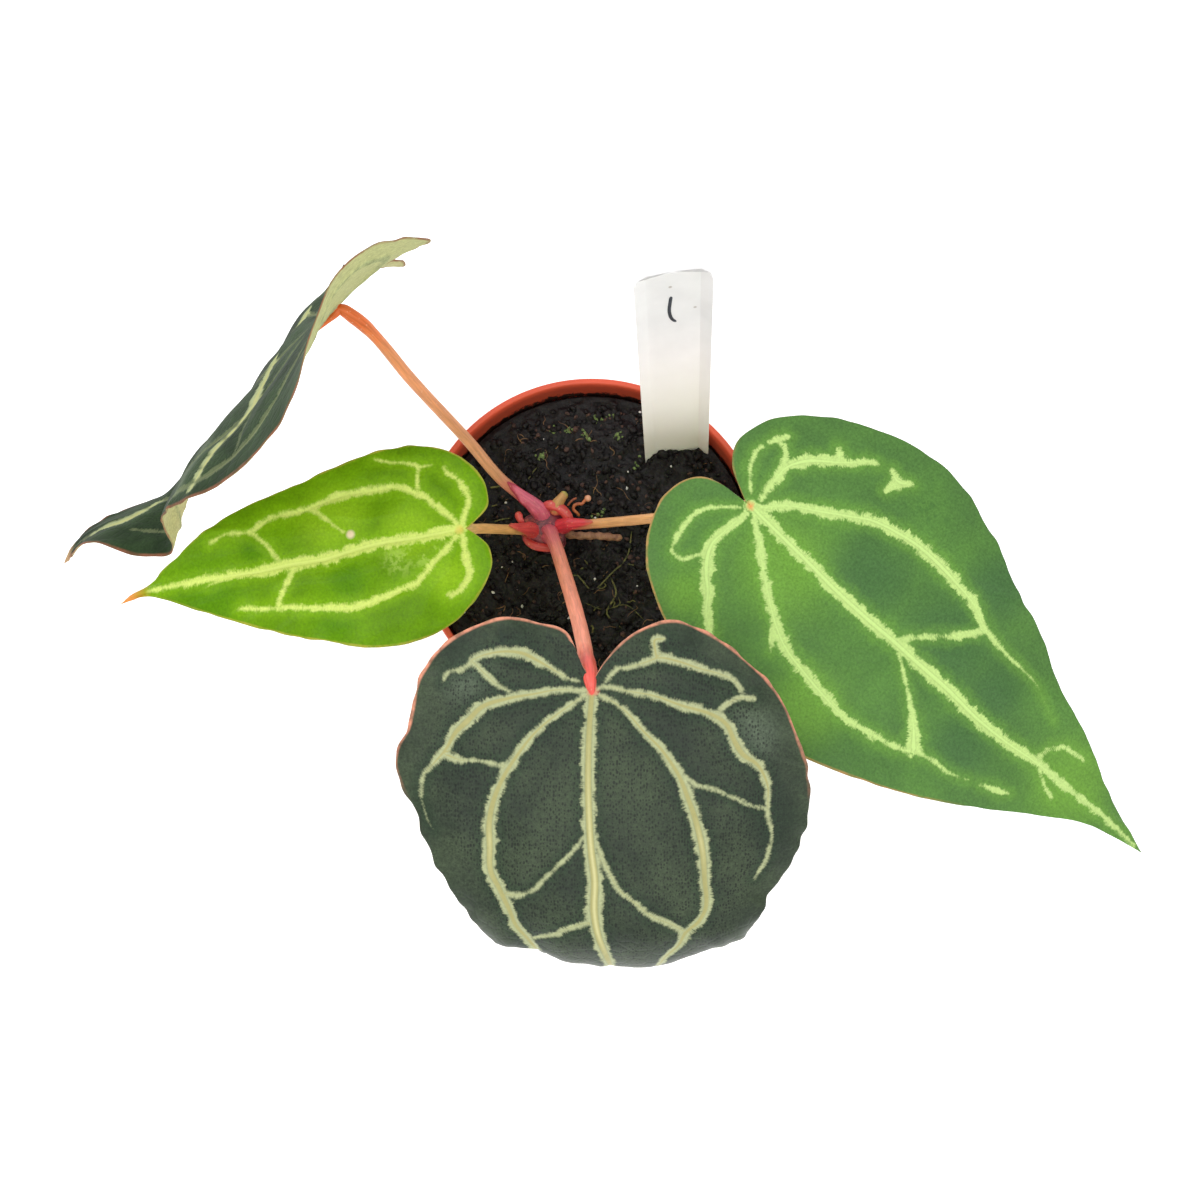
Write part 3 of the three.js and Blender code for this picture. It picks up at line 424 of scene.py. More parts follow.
def blade_space(leaf, x, y, lift):
    """Places the flat blade's points (x, y) in space: the spine is the running sum of its directions, and
    across it each half is an arc that starts at its rise angle and turns by its curl per millimetre. lift
    moves a point square to the arc."""
    rows = np.asarray(leaf["spine"], float)
    stations = np.arange(rows[0, 0], rows[-1, 0] + 0.5)
    values = smooth(rows, stations)
    along = direction(values[:, 0] * DEG, values[:, 1] * DEG)
    path = np.vstack([np.zeros(3), np.cumsum((along[1:] + along[:-1]) / 2, axis=0)])
    path += np.array(leaf["at"]) - path[int(-rows[0, 0])]
    y = np.clip(y, stations[0], stations[-1])
    heading, pitch, roll, rise, left, right = (np.interp(y, stations, v) * DEG for v in values.T)
    along = direction(heading, pitch)
    level = np.column_stack([-np.sin(heading), np.cos(heading), 0 * heading])
    upright = np.cross(along, level)
    c, s = np.cos(roll)[:, None], np.sin(roll)[:, None]
    side, normal = level * c + upright * s, upright * c - level * s
    curl = np.where(x < 0, left, right) / 10
    curl = np.where(np.abs(curl) < 1e-6, 1e-6, curl)
    angle = rise + curl * np.abs(x)
    across = (np.sin(angle) - np.sin(rise)) / curl - lift * np.sin(angle)
    height = (np.cos(rise) - np.cos(angle)) / curl + lift * np.cos(angle)
    middle = np.column_stack([np.interp(y, stations, path[:, k]) for k in range(3)])
    return middle + side * (np.sign(x) * across)[:, None] + normal * height[:, None]


def nearest(x, y, line):
    """Distance from every (x, y) to a polyline, the length along it to the nearest point, its share of the
    whole length, and on which side the point lies."""
    best = np.full(len(x), 1e9)
    along, side = np.zeros(len(x)), np.ones(len(x))
    start = 0.0
    for a, b in zip(line[:-1], line[1:]):
        step = b - a
        length = np.hypot(*step)
        t = np.clip(((x - a[0]) * step[0] + (y - a[1]) * step[1]) / length**2, 0, 1)
        dx, dy = x - a[0] - t * step[0], y - a[1] - t * step[1]
        d = np.hypot(dx, dy)
        closer = d < best
        best = np.where(closer, d, best)
        along = np.where(closer, start + t * length, along)
        side = np.where(closer, np.sign(step[0] * dy - step[1] * dx), side)
        start += length
    return best, along, along / start, side


def rings(grid, first, last):
    """Faces of a surface whose rows are closed rings: quads between neighbouring rings, and a fan from the
    point `first` to the first ring and from the last ring to the point `last`."""
    rows, m = grid.shape
    turned = np.roll(grid, -1, axis=1)
    quads = np.stack([grid[:-1], turned[:-1], turned[1:], grid[1:]], axis=-1).reshape(-1, 4)
    fans = [np.stack([np.full(m, first), turned[0], grid[0]], axis=-1),
            np.stack([np.full(m, last), grid[-1], turned[-1]], axis=-1)]
    return [quads, *fans]


def outward(points, faces):
    """Turns every face round if the volume they enclose comes out negative."""
    total = 0.0
    for f in faces:
        for k in range(1, f.shape[1] - 1):
            a, b, c = points[f[:, 0]], points[f[:, k]], points[f[:, k + 1]]
            total += np.einsum("ij,ij->i", a, np.cross(b, c)).sum()
    return faces if total > 0 else [f[:, ::-1] for f in faces]


def tube(path, radius, sides, section=None):
    """A closed round body: rings of the given radii about the path, square to it, with a point at each
    end. section(angle, share) scales the radius round the ring. Returns the points, faces, the length
    along, the share along and the angle round of every point."""
    path = np.asarray(path, float)
    radius = np.asarray(radius, float)
    tangent = np.gradient(path, axis=0)
    tangent /= np.linalg.norm(tangent, axis=1)[:, None]
    flat = np.linalg.svd(path - path.mean(axis=0))[2][2]
    flat = flat if flat[2] >= 0 else -flat
    side = np.cross(tangent, flat)
    side /= np.linalg.norm(side, axis=1)[:, None]
    up = np.cross(side, tangent)
    step = np.linalg.norm(np.diff(path, axis=0), axis=1)
    length = np.concatenate([[0], np.cumsum(step)])
    share = length / length[-1]
    angle = np.linspace(0, 2 * np.pi, sides, endpoint=False)
    r = radius[:, None] * np.ones(sides)
    if section:
        r = r * section(angle[None, :], share[:, None])
    body = path[:, None] + r[..., None] * (np.cos(angle)[None, :, None] * side[:, None]
                                           + np.sin(angle)[None, :, None] * up[:, None])
    points = np.vstack([body.reshape(-1, 3), path[:1], path[-1:]])
    count = len(path) * sides
    faces = rings(np.arange(count).reshape(len(path), sides), count, count + 1)
    spread = np.concatenate([np.repeat(length, sides), [0, length[-1]]])
    turn = np.concatenate([np.tile(angle, len(path)), [0, 0]])
    return points, outward(points, faces), spread, spread / length[-1], turn


def rounded(count, radius, start=0.0, end=0.0):
    """Radii along a body that swell from nothing over the `start` share and close over the `end` share, as
    a quarter circle does."""
    t = np.linspace(0, 1, count)
    r = np.full(count, float(radius)) if np.isscalar(radius) else np.asarray(radius, float).copy()
    if start:
        r *= np.sqrt(np.clip(1 - (1 - np.clip(t / start, 0, 1)) ** 2, 0, 1)) + 1e-3
    if end:
        r *= np.sqrt(np.clip(1 - (1 - np.clip((1 - t) / end, 0, 1)) ** 2, 0, 1)) + 1e-3
    return r


def circle(radius, height, turn):
    """Points about the axis at the given radius and height and at every angle of turn."""
    return np.stack([radius * np.cos(turn), radius * np.sin(turn), height + 0 * turn], axis=-1)


def girth(radius, along, length):
    """Radius of a stalk: half as wide again at its foot, and an eighth wider over the swollen last 9 mm."""
    knee = 0.14 / (1 + np.exp((length - 9 - along) * 1.6))
    return radius * (0.97 + 0.5 * np.exp(-((along / 7) ** 2)) + knee)


def join(parts):
    """Several (points, faces, ...) bodies as one list of points and faces; further arrays are chained."""
    points, faces, extra, start = [], [], [], 0
    for part in parts:
        points.append(part[0])
        faces += [f + start for f in part[1]]
        extra.append(part[2:])
        start += len(part[0])
    return (np.vstack(points), faces, *[np.concatenate(e) for e in zip(*extra)])


# Making pieces -----------------------------------------------------------------------------------------


def linear(code):
    """An sRGB hex colour as linear red, green, blue and alpha."""
    parts = [int(code[i:i + 2], 16) / 255 for i in (1, 3, 5)]
    return [p / 12.92 if p <= 0.04045 else ((p + 0.055) / 1.055) ** 2.4 for p in parts] + [1.0]


def piece(name, points, faces, finish, stands_for=(), attributes=None):
    """Makes one finished piece from points in millimetres, gives it its attributes and material, hides the
    nodes that it stands for and lets it ride on the plant's body."""
    mesh = bpy.data.meshes.new(name)
    rows = [row for f in faces for row in f.tolist()]
    mesh.from_pydata((np.asarray(points) * MM).tolist(), [], rows)
    for key, values in (attributes or {}).items():
        values = np.asarray(values, np.float32)
        kind, field = ("FLOAT", "value") if values.ndim == 1 else ("FLOAT_VECTOR", "vector")
        mesh.attributes.new(key, kind, "POINT").data.foreach_set(field, values.ravel())
    mesh.polygons.foreach_set("use_smooth", np.ones(len(mesh.polygons), bool))
    mesh.materials.append(finish)
    mesh.update()
    if mesh.validate():
        raise RuntimeError(name + " has faces that Blender had to mend")
    made = bpy.data.objects.new(name, mesh)
    bpy.context.scene.collection.objects.link(made)
    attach(made, "root")
    if stands_for:
        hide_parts(*stands_for)
    return made


def feed(node, inputs):
    """Gives each input of a node, in order or by name or number, its value or a link from a socket."""
    for key, value in inputs.items() if isinstance(inputs, dict) else enumerate(inputs):
        if isinstance(value, bpy.types.NodeSocket):
            node.id_data.links.new(value, node.inputs[key])
        else:
            node.inputs[key].default_value = value


def add_node(tree, kind, inputs=(), out=0, stops=(), **settings):
    """Adds a node with its settings, feeds its inputs and returns its output `out`. stops gives the colours
    of a ramp by their places."""
    node = tree.nodes.new("ShaderNode" + kind)
    for key, value in settings.items():
        setattr(node, key, value)
    feed(node, inputs)
    for n, (place, colour) in enumerate(stops):
        elements = node.color_ramp.elements
        element = elements[n] if n < 2 else elements.new(place)
        element.position = place
        element.color = linear(colour)
    return node.outputs[out]


def new_finish(name):
    """A material with a Principled shader: the material, a function that adds nodes to it, the shader."""
    finish = bpy.data.materials.new(name)
    finish.use_nodes = True
    tree = finish.node_tree
    tree.nodes.clear()
    shader = tree.nodes.new("ShaderNodeBsdfPrincipled")
    tree.links.new(shader.outputs[0], tree.nodes.new("ShaderNodeOutputMaterial").inputs["Surface"])
    return finish, partial(add_node, tree), shader


def paint(add, base, *coats):
    """Lays colours over a base one after another. Each coat is a hex colour or a socket, and the factors
    whose product is its share."""
    for colour, share, *more in coats:
        for factor in more:
            share = add("Math", (share, factor), operation="MULTIPLY")
        colour = linear(colour) if isinstance(colour, str) else colour
        base = add("Mix", {0: share, 6: base, 7: colour}, out=2, data_type="RGBA")
    return base


# Finishes ----------------------------------------------------------------------------------------------


def blade_finish(key, look, tones):
    """Living leaf tissue: a matt or waxy cuticle over dark green cells, with pale cells in bands along the
    veins whose edges fray into short teeth, and a fine net of veinlets. The patterns follow the flat leaf,
    in millimetres."""
    finish, add, shader = new_finish("living_leaf_" + key)
    leaf, vein, tint = [add("Attribute", out="Vector", attribute_name=name)
                        for name in ("leaf_mm", "vein_mm", "tint")]
    pale, edge, face = [add("Attribute", out="Fac", attribute_name=name)
                        for name in ("pale_mm", "edge_mm", "upper")]
    x, y, _ = add("SeparateXYZ", [leaf]).node.outputs
    _, off, width = add("SeparateXYZ", [vein]).node.outputs
    sheen_and_pale, deep, speck = add("SeparateXYZ", [tint]).node.outputs

    # Teeth of the pale bands: about 0.3 mm wide along the vein and up to 1 mm long across it, shorter on
    # the thin links. Half the two weights is taken off, so that the teeth reach out as far as in.
    fine, coarse = 1.5, 2.3
    stretched = add("VectorMath", (vein, (3.3, 0.9, 1)), operation="MULTIPLY")
    teeth = add("TexNoise", {"Vector": stretched, "Scale": 1.0, "Detail": 3.0, "Roughness": 0.65})
    ragged = add("TexNoise", {"Vector": leaf, "Scale": 0.42, "Detail": 4.0, "Roughness": 0.6})
    length = add("MapRange", (width, 0.2, 1.5, 0.5 * look["jag"], look["jag"]))
    frayed = add("Math", (teeth, fine, -(fine + coarse) / 2), operation="MULTIPLY_ADD")
    frayed = add("Math", (ragged, coarse, frayed), operation="MULTIPLY_ADD")
    frayed = add("Math", (frayed, length, pale), operation="MULTIPLY_ADD")
    band = add("MapRange", (frayed, -look["soft"], look["soft"] + 0.1), interpolation_type="SMOOTHSTEP")

    # The green between: cloudy patches, brighter towards the veins, and lighter and darker regions. The
    # lighter ones are painted sheen on the front and back blades and paler tissue with painted sheen on the
    # others; the darker ones are deeper green and partly painted shade.
    cloud = add("TexNoise", {"Vector": leaf, "Scale": 0.07, "Detail": 4.0, "Roughness": 0.55})
    grain = add("TexNoise", {"Vector": leaf, "Scale": 1.6, "Detail": 3.0, "Roughness": 0.7})
    glow = add("MapRange", (frayed, -3.6, 0.3, 0.0, look["halo"]), interpolation_type="SMOOTHERSTEP")
    flesh = paint(add, [*tones.dark, 1.0], ([*tones.mid, 1.0], add("MapRange", (cloud, 0.36, 0.62))),
                  (look["lifted"], sheen_and_pale, 0.6), (look["shade"], deep, 0.85), (look["glow"], glow))
    light = add("MapRange", (grain, 0.3, 0.7, *look["mottle"]))
    flesh = add("VectorMath", {0: flesh, "Scale": light}, operation="SCALE")
    # Speck patches: dark specks on the front and right blades; on the left one, pale flecks that are painted
    # glints.
    if "specks_and_glints" in look:
        fill, strength, colour = look["specks_and_glints"]
        flesh = paint(add, flesh, (colour, add("MapRange", (ragged, fill, fill + 0.08)), speck, strength))
    if look["dots"]:
        # Dark pits in rows along the leaf, 0.3 mm wide and a little under a millimetre apart, fewer towards
        # the edge.
        cells = add("VectorMath", (leaf, (1.5, 1.0, 0.1)), operation="MULTIPLY")
        pits = add("TexVoronoi", {"Vector": cells, "Scale": 1.0, "Randomness": 0.75}, feature="F1",
                   voronoi_dimensions="2D")
        chance = add("SeparateXYZ", [pits.node.outputs["Color"]])
        size = add("MapRange", (chance, 0.05, 1.0, 0.1, 0.45))
        pit = add("MapRange", (add("Math", (size, pits), operation="SUBTRACT"), 0.0, 0.1))
        flesh = paint(add, flesh, ("#10150f", pit, add("MapRange", (edge, 2.5, 10.0, 0.1)), look["dots"]))

    # The pale band itself, in full where it is thick and crystalline; along its middle a yellower raised
    # line, with painted shade darkening the crease on either side.
    cream = add("MapRange", (grain, 0.3, 0.7, 0.84, 1.1))
    cream = add("VectorMath", {0: tuple(tones.pale), "Scale": cream}, operation="SCALE")
    clear = add("Math", (speck, look["lit"]), operation="MULTIPLY")
    clear = add("Math", (clear, look["show"]), operation="MAXIMUM")
    shown = add("Math", (band, clear), operation="MULTIPLY")
    half = add("Math", (width, look["from"]), operation="SUBTRACT")
    half = add("Math", (half, look["core"]), operation="MULTIPLY")
    inside = add("Math", (half, add("Math", [off], operation="ABSOLUTE")), operation="SUBTRACT")
    core = add("MapRange", (inside, -0.12, 0.15, 0.0, 0.8))
    flesh = paint(add, flesh, (cream, shown), (look["line"], core, shown))
    if "crest_highlight" in look:
        # Painted highlight: the main vein stands up round, and its top is painted paler where it would catch
        # the light.
        beside = add("Math", [add("Math", (off, 0.05), operation="ADD")], operation="ABSOLUTE")
        crest_highlight = add("MapRange", (beside, 0.1, 0.6, 0.8, 0.0))
        flesh = paint(add, flesh, (look["crest_highlight"], crest_highlight, add("MapRange", (width, 1.45, 1.7)), shown))
    # Painted shade: a dark line in the crease on either side of the main veins' raised middle.
    brink = add("Math", [add("Math", (inside, 0.1), operation="ADD")], operation="ABSOLUTE")
    crease_shade = add("MapRange", (brink, 0.04, 0.22, look["crease_shade"], 0.0))
    dark = add("VectorMath", {0: flesh, "Scale": 0.4}, operation="SCALE")
    flesh = paint(add, flesh, (dark, crease_shade, add("MapRange", (width, 1.1, 1.5)), shown))

    # Pale underside, where the veins stand out darker.
    below = paint(add, linear(look["under"]), (cream, band))
    below = add("VectorMath", {0: below, "Scale": light}, operation="SCALE")
    flesh = paint(add, below, (flesh, face))

    # Warm margin, flushed notch and dry tip.
    rim = add("MapRange", (edge, look["margin_mm"] * 0.6, look["margin_mm"] * 1.5, 0.85, 0.0))
    uneven = add("MapRange", (ragged, 0.4, 0.6, 0.45, 1.0))
    reach_x, reach_y, start, stop = look["way"]
    fade = add("VectorMath", (leaf, (reach_x, reach_y, 0)), out="Value", operation="DOT_PRODUCT")
    fade = add("MapRange", (fade, start, stop, 1.0, 0.0))
    flat = add("CombineXYZ", (x, y))
    reach = add("VectorMath", [flat], out="Value", operation="LENGTH")
    reach = add("Math", (ragged, 2.5, reach), operation="MULTIPLY_ADD")
    flush = add("MapRange", (reach, look["flush"] + 1.2, look["flush"] + 2.4, 0.9, 0.0))
    flesh = paint(add, flesh, (look["margin"], rim, uneven, fade), (look["sinus"], flush))
    if "scar" in look:
        # A healed, corky pinprick, 2 mm across.
        away = add("VectorMath", (flat, (*look["scar"], 0)), out="Value", operation="DISTANCE")
        flesh = paint(add, flesh, ("#ecd2b4", add("MapRange", (away, 0.6, 1.3, 0.85, 0.0))))
    flesh = paint(add, flesh, (look["tip"], add("MapRange", (y, look["tip_at"] - 3, look["tip_at"] + 3))))

    # Relief too fine for the mesh: a net of veinlets 3 mm apart and the cells of the cuticle.
    net = add("TexVoronoi", {"Vector": leaf, "Scale": 0.34}, feature="DISTANCE_TO_EDGE",
              voronoi_dimensions="2D")
    relief = add("Math", (grain, 0.35, add("MapRange", (net, 0.0, 0.16))), operation="MULTIPLY_ADD")
    feed(shader, {
        "Base Color": flesh,
        "Normal": add("Bump", {"Strength": 0.22, "Distance": 0.25 * MM, "Height": relief}),
        "Roughness": add("MapRange", (grain, 0.3, 0.7, look["rough"] - 0.06, look["rough"] + 0.08)),
        "IOR": 1.42,
        "Specular IOR Level": look["spec"],
        "Coat Weight": look["coat"],
        "Coat Roughness": 0.2,
        "Sheen Weight": look["sheen"],
        "Sheen Roughness": 0.4,
    })
    return finish


def skin_finish(name, colours, rough=0.4, coat=0.0):
    """Fleshy skin of a stalk or a sheath: its colours from foot to end, fine lengthwise streaks
    about 0.3 mm wide and pale breathing pores."""
    finish, add, shader = new_finish(name)
    skin = add("Attribute", out="Vector", attribute_name="skin_mm")
    share = add("Attribute", out="Fac", attribute_name="share")
    long = add("VectorMath", (skin, (0.12, 1.6, 1.6)), operation="MULTIPLY")
    streak = add("TexNoise", {"Vector": long, "Scale": 1.5, "Detail": 3.0})
    blotch = add("TexNoise", {"Vector": skin, "Scale": 0.35, "Detail": 3.0})
    shifted = add("Math", (blotch, 0.12, share), operation="MULTIPLY_ADD")
    stops = [(0.13, colours[0]), (0.985, colours[-1]), (0.34, colours[1]), (0.88, colours[-2])]
    colour = add("ValToRGB", [shifted], stops=stops)
    light = add("MapRange", (streak, 0.3, 0.7, 0.78, 1.18))
    colour = add("VectorMath", {0: colour, "Scale": light}, operation="SCALE")
    pores = add("TexVoronoi", {"Vector": skin, "Scale": 0.8}, feature="F1")
    feed(shader, {
        "Base Color": paint(add, colour, ("#e6b99a", add("MapRange", (pores, 0.1, 0.2, 0.35, 0.0)))),
        "Normal": add("Bump", {"Strength": 0.25, "Distance": 0.2 * MM, "Height": streak}),
        "Roughness": rough,
        "IOR": 1.42,
        "Coat Weight": coat,
    })
    return finish


def object_finish(name, base, second, size, roughness, relief, third=None, coat=0.0, glint=0.5):
    """A finish that mottles between two colours over patches of the given size in millimetres, with a
    grain a quarter of that, and a third colour in the deepest spots."""
    finish, add, shader = new_finish(name)
    place = add("TexCoord", out="Object")
    patch = add("TexNoise", {"Vector": place, "Scale": 1 / (size * MM), "Detail": 5.0, "Roughness": 0.62})
    grain = add("TexNoise", {"Vector": place, "Scale": 4 / (size * MM), "Detail": 4.0, "Roughness": 0.7})
    colour = paint(add, linear(base), (second, add("MapRange", (patch, 0.35, 0.65))))
    if third:
        colour = paint(add, colour, (third, add("MapRange", (grain, 0.56, 0.68))))
    height = add("Math", (grain, 0.5, patch), operation="MULTIPLY_ADD")
    feed(shader, {
        "Base Color": colour,
        "Normal": add("Bump", {"Strength": 0.6, "Distance": relief * MM, "Height": height}),
        "Roughness": roughness,
        "Specular IOR Level": glint,
        "Coat Weight": coat,
    })
    return finish


# Settings ----------------------------------------------------------------------------------------------


def tone_setting(name, description, code):
    """A colour that the user can change, with its default as sRGB hex."""
    return bpy.props.FloatVectorProperty(name=name, description=description, subtype="COLOR", size=3, min=0,
                                         max=1, default=linear(code)[:3])


class BladeTones(bpy.types.PropertyGroup):
    """Colours and thickness of one blade."""

    dark: tone_setting("Dark green", "Deepest green between the veins", "#3f5a3f")
    mid: tone_setting("Middle green", "Green of the lighter patches", "#597c59")
    pale: tone_setting("Vein colour", "Colour of the bands along the veins", "#bccb95")
    thick: bpy.props.FloatProperty(name="Thickness", description="Thickness of the blade at its middle",
                                   default=0.7 * MM, min=0.3 * MM, max=1.5 * MM, unit="LENGTH")


class PlantSettings(bpy.types.PropertyGroup):
    """Sizes and colours of the pot, the mix, the label and the light."""

    pot: tone_setting("Pot colour", "Colour of the moulded pot", "#dc583c")
    label: tone_setting("Label colour", "Colour of the plant label", "#e2e0de")
    crumbs: bpy.props.IntProperty(name="Crumbs", description="How many crumbs lie on the mix",
                                  default=1000, min=0, max=2000)
    strands: bpy.props.IntProperty(name="Strands", description="How many fibres and moss strands lie on it",
                                   default=90, min=0, max=600)
    light: bpy.props.FloatProperty(name="Light", description="Strength of the surrounding light",
                                   default=0.78, min=0, max=5)
    front: bpy.props.PointerProperty(type=BladeTones, name="Front blade", description="The dark front blade")
    right: bpy.props.PointerProperty(type=BladeTones, name="Right blade", description="The large green blade")
    left: bpy.props.PointerProperty(type=BladeTones, name="Left blade", description="The young glossy blade")
    back: bpy.props.PointerProperty(type=BladeTones, name="Back blade", description="The blade seen edge-on")


# Operators ---------------------------------------------------------------------------------------------


class ANTHURIUM_OT_blades(bpy.types.Operator):
    """Build the four heart-shaped blades"""

    bl_idname = "anthurium.blades"
    bl_label = "Blades"

    def execute(self, context):
        for key, leaf in LEAVES.items():
            look = {**USUAL_LOOK, **LOOKS[key]}
            self.blade(key, leaf, look, getattr(context.scene.anthurium, key))
        return {"FINISHED"}

    def blade(self, key, leaf, look, tones):
        """A bag of rings about the stalk's end: rings grow from the middle of the upper face to the edge,
        pass round it and shrink again under the blade. Each ring is the outline scaled about the stalk's
        end. The lift of a point is half the thickness plus waves, quilting between veins and grooves. Each
        patch fades from its middle as exp(-(d / r)^3)."""
        # Steps along each edge, and rings over the upper and the lower face.
        n, upper, lower = 220, 118, 30
        edge = np.vstack([resample(leaf["right"], n), resample(leaf["left"], n)[1:n][::-1]])
        m = len(edge)
        r = np.concatenate([np.arange(1, upper + 1) / upper, [1.0], np.arange(lower, 0, -1) / lower])
        face = np.concatenate([np.ones(upper), [0.5], np.zeros(lower)])
        j = np.arange(m)
        part = np.where(j <= n, j, 2 * n - j) / n
        swell = leaf["wave"][0] * np.sin(2 * np.pi * leaf["wave"][1] * part)
        half = tones.thick / MM / 2

        reach = np.hypot(edge[:, 0], edge[:, 1])
        walked = np.concatenate([[0], np.cumsum(np.linalg.norm(np.diff(edge, axis=0), axis=1))])
        nick = look["nick"] * noise(walked, 0 * walked, 3.5, leaf["seed"]) * np.clip(reach / 8, 0, 1)
        nick[n - 3:n + 4] *= 0.2  # the tip keeps its point
        grown = edge * (1 + nick / reach)[:, None]
        bulge = np.where(np.arange(len(r)) == upper, 0.1, 0.0)[:, None] / reach[None, :]
        scale = r[:, None] + bulge
        x = np.concatenate([(scale * grown[:, 0]).ravel(), [0.0, 0.0]])
        y = np.concatenate([(scale * grown[:, 1]).ravel(), [0.0, 0.0]])
        rr = np.concatenate([np.repeat(r, m), [0, 0]])
        side = np.concatenate([np.repeat(face, m), [1, 0]])

        pale, gap = np.full(len(x), -1e9), np.full(len(x), 1e9)
        along, off, width = np.zeros(len(x)), np.zeros(len(x)), np.zeros(len(x))
        for k, (foot, middle, end, line) in enumerate(leaf["veins"]):
            line = resample(line, 4 * len(line))
            d, s, share, sign = nearest(x, y, line)
            w = np.interp(share, [0, 0.5, 1], [foot, middle, end])
            better = w - d > pale  # inside this vein's band further than in any other's
            pale = np.where(better, w - d, pale)
            along, off = np.where(better, s + 37 * k, along), np.where(better, d * sign, off)
            width = np.where(better, w, width)
            # The blade quilts up between the main veins; the others press it down less.
            gap = np.minimum(gap, d if k < MAIN_VEINS else d + 2.2)
        outline = np.vstack([edge, edge[:1]])[::2]
        rim = np.where(rr > 0.8, nearest(x, y, outline)[0], 9.0)

        wave = np.concatenate([(swell * r[:, None] ** 3).ravel(), [0, 0]])
        inland = np.clip(np.hypot(x, y) / 6, 0, 1)
        bed = look["quilt"] * (1 - np.exp(-((gap / 5.5) ** 2))) * (1 - rr**6) * inland
        seed = leaf["seed"]
        slow = look["ripple"] * (noise(x, y, 9, seed + 1) + 0.4 * noise(x, y, 4, seed + 2))
        curl = look["frill"] * noise(walked, 0 * walked, 3, seed + 3)
        frill = np.concatenate([(curl * r[:, None] ** 12).ravel(), [0, 0]])
        body = half * (1 - 0.55 * rr**8) * (2 * side - 1)
        groove = look["groove"] * np.clip(width, 0, 1.4) * np.exp(-((off / 0.75) ** 2)) * (1 - rr**10)
        cut = np.where(side > 0.5, -0.8 * groove, -1.9 * groove)
        lift = body + wave + bed + slow * np.clip(rr * 3, 0, 1) + frill + cut * (np.abs(side - 0.5) > 0.4)
        if "scar" in look:
            lift += 0.25 * side * np.exp(-((x - look["scar"][0]) ** 2 + (y - look["scar"][1]) ** 2))
        points = blade_space(leaf, x, y, lift)
        count = len(r) * m
        faces = rings(np.arange(count).reshape(len(r), m), count, count + 1)
        flat = np.column_stack([x, y, np.full(len(x), leaf["seed"])])
        course = np.column_stack([along, off, width])
        # Lighter patches (painted sheen, on the right and left blades also paler tissue), darker ones (deeper
        # green, partly painted shade) and speck patches.
        tint = np.zeros((len(x), 3))
        for k, kind in enumerate(("sheen_and_pale", "deep", "speck")):
            for px, py, size in look[kind]:
                far = ((x - px) ** 2 + (y - py) ** 2) / size**2
                tint[:, k] = np.maximum(tint[:, k], np.exp(-(far**1.5)))
        attributes = {"leaf_mm": flat, "vein_mm": course, "pale_mm": pale, "edge_mm": rim, "upper": side,
                      "tint": tint}
        piece("leaf_" + key, points, outward(points, faces), blade_finish(key, look, tones),
              ["blade_" + key], attributes)


class ANTHURIUM_OT_stalks(bpy.types.Operator):
    """Build the four leaf stalks"""

    bl_idname = "anthurium.stalks"
    bl_label = "Stalks"

    def execute(self, context):
        for key, (radius, points, colours) in STALKS.items():
            # Past the knee the stalk runs on as the midrib's keel, tapering under the blade.
            ahead, lift = np.array(KEEL).T
            lift[0] += OVER.get(key, 0)
            keel = blade_space(LEAVES[key], 0 * ahead, ahead, lift)
            path = resample(np.vstack([points, keel]), 180)
            stem = np.linalg.norm(np.diff(resample(points, 150), axis=0), axis=1).sum()
            length = np.linalg.norm(np.diff(path, axis=0), axis=1).sum()
            share = np.linspace(0, length / stem, 181)
            size = girth(radius, share * stem, stem) * (1 + 0.02 * noise(share * stem, 0 * share, 5, 7))
            size = size * np.interp(share * stem - stem, *np.array(TAPER).T)
            size = rounded(181, size, end=0.012)

            def section(angle, along):
                """A channel along the upper side, deepest at the foot, and seven low ribs."""
                depth = 0.1 + 0.22 * np.exp(-((along / 0.13) ** 2))
                channel = depth * np.exp(-(((angle - np.pi / 2) / 0.4) ** 2)) * np.clip(8 * (1 - along), 0, 1)
                return 1 - channel + 0.012 * np.sin(7 * angle + 2 * along)

            body, faces, spread, part, turn = tube(path, size, 40, section)
            skin = np.column_stack([spread, np.cos(turn) * radius, np.sin(turn) * radius])
            piece("stalk_" + key, body, faces, skin_finish("fleshy_stalk_" + key, colours),
                  ["petiole_" + key], {"skin_mm": skin, "share": np.clip(part * length / stem, 0, 1)})
        return {"FINISHED"}


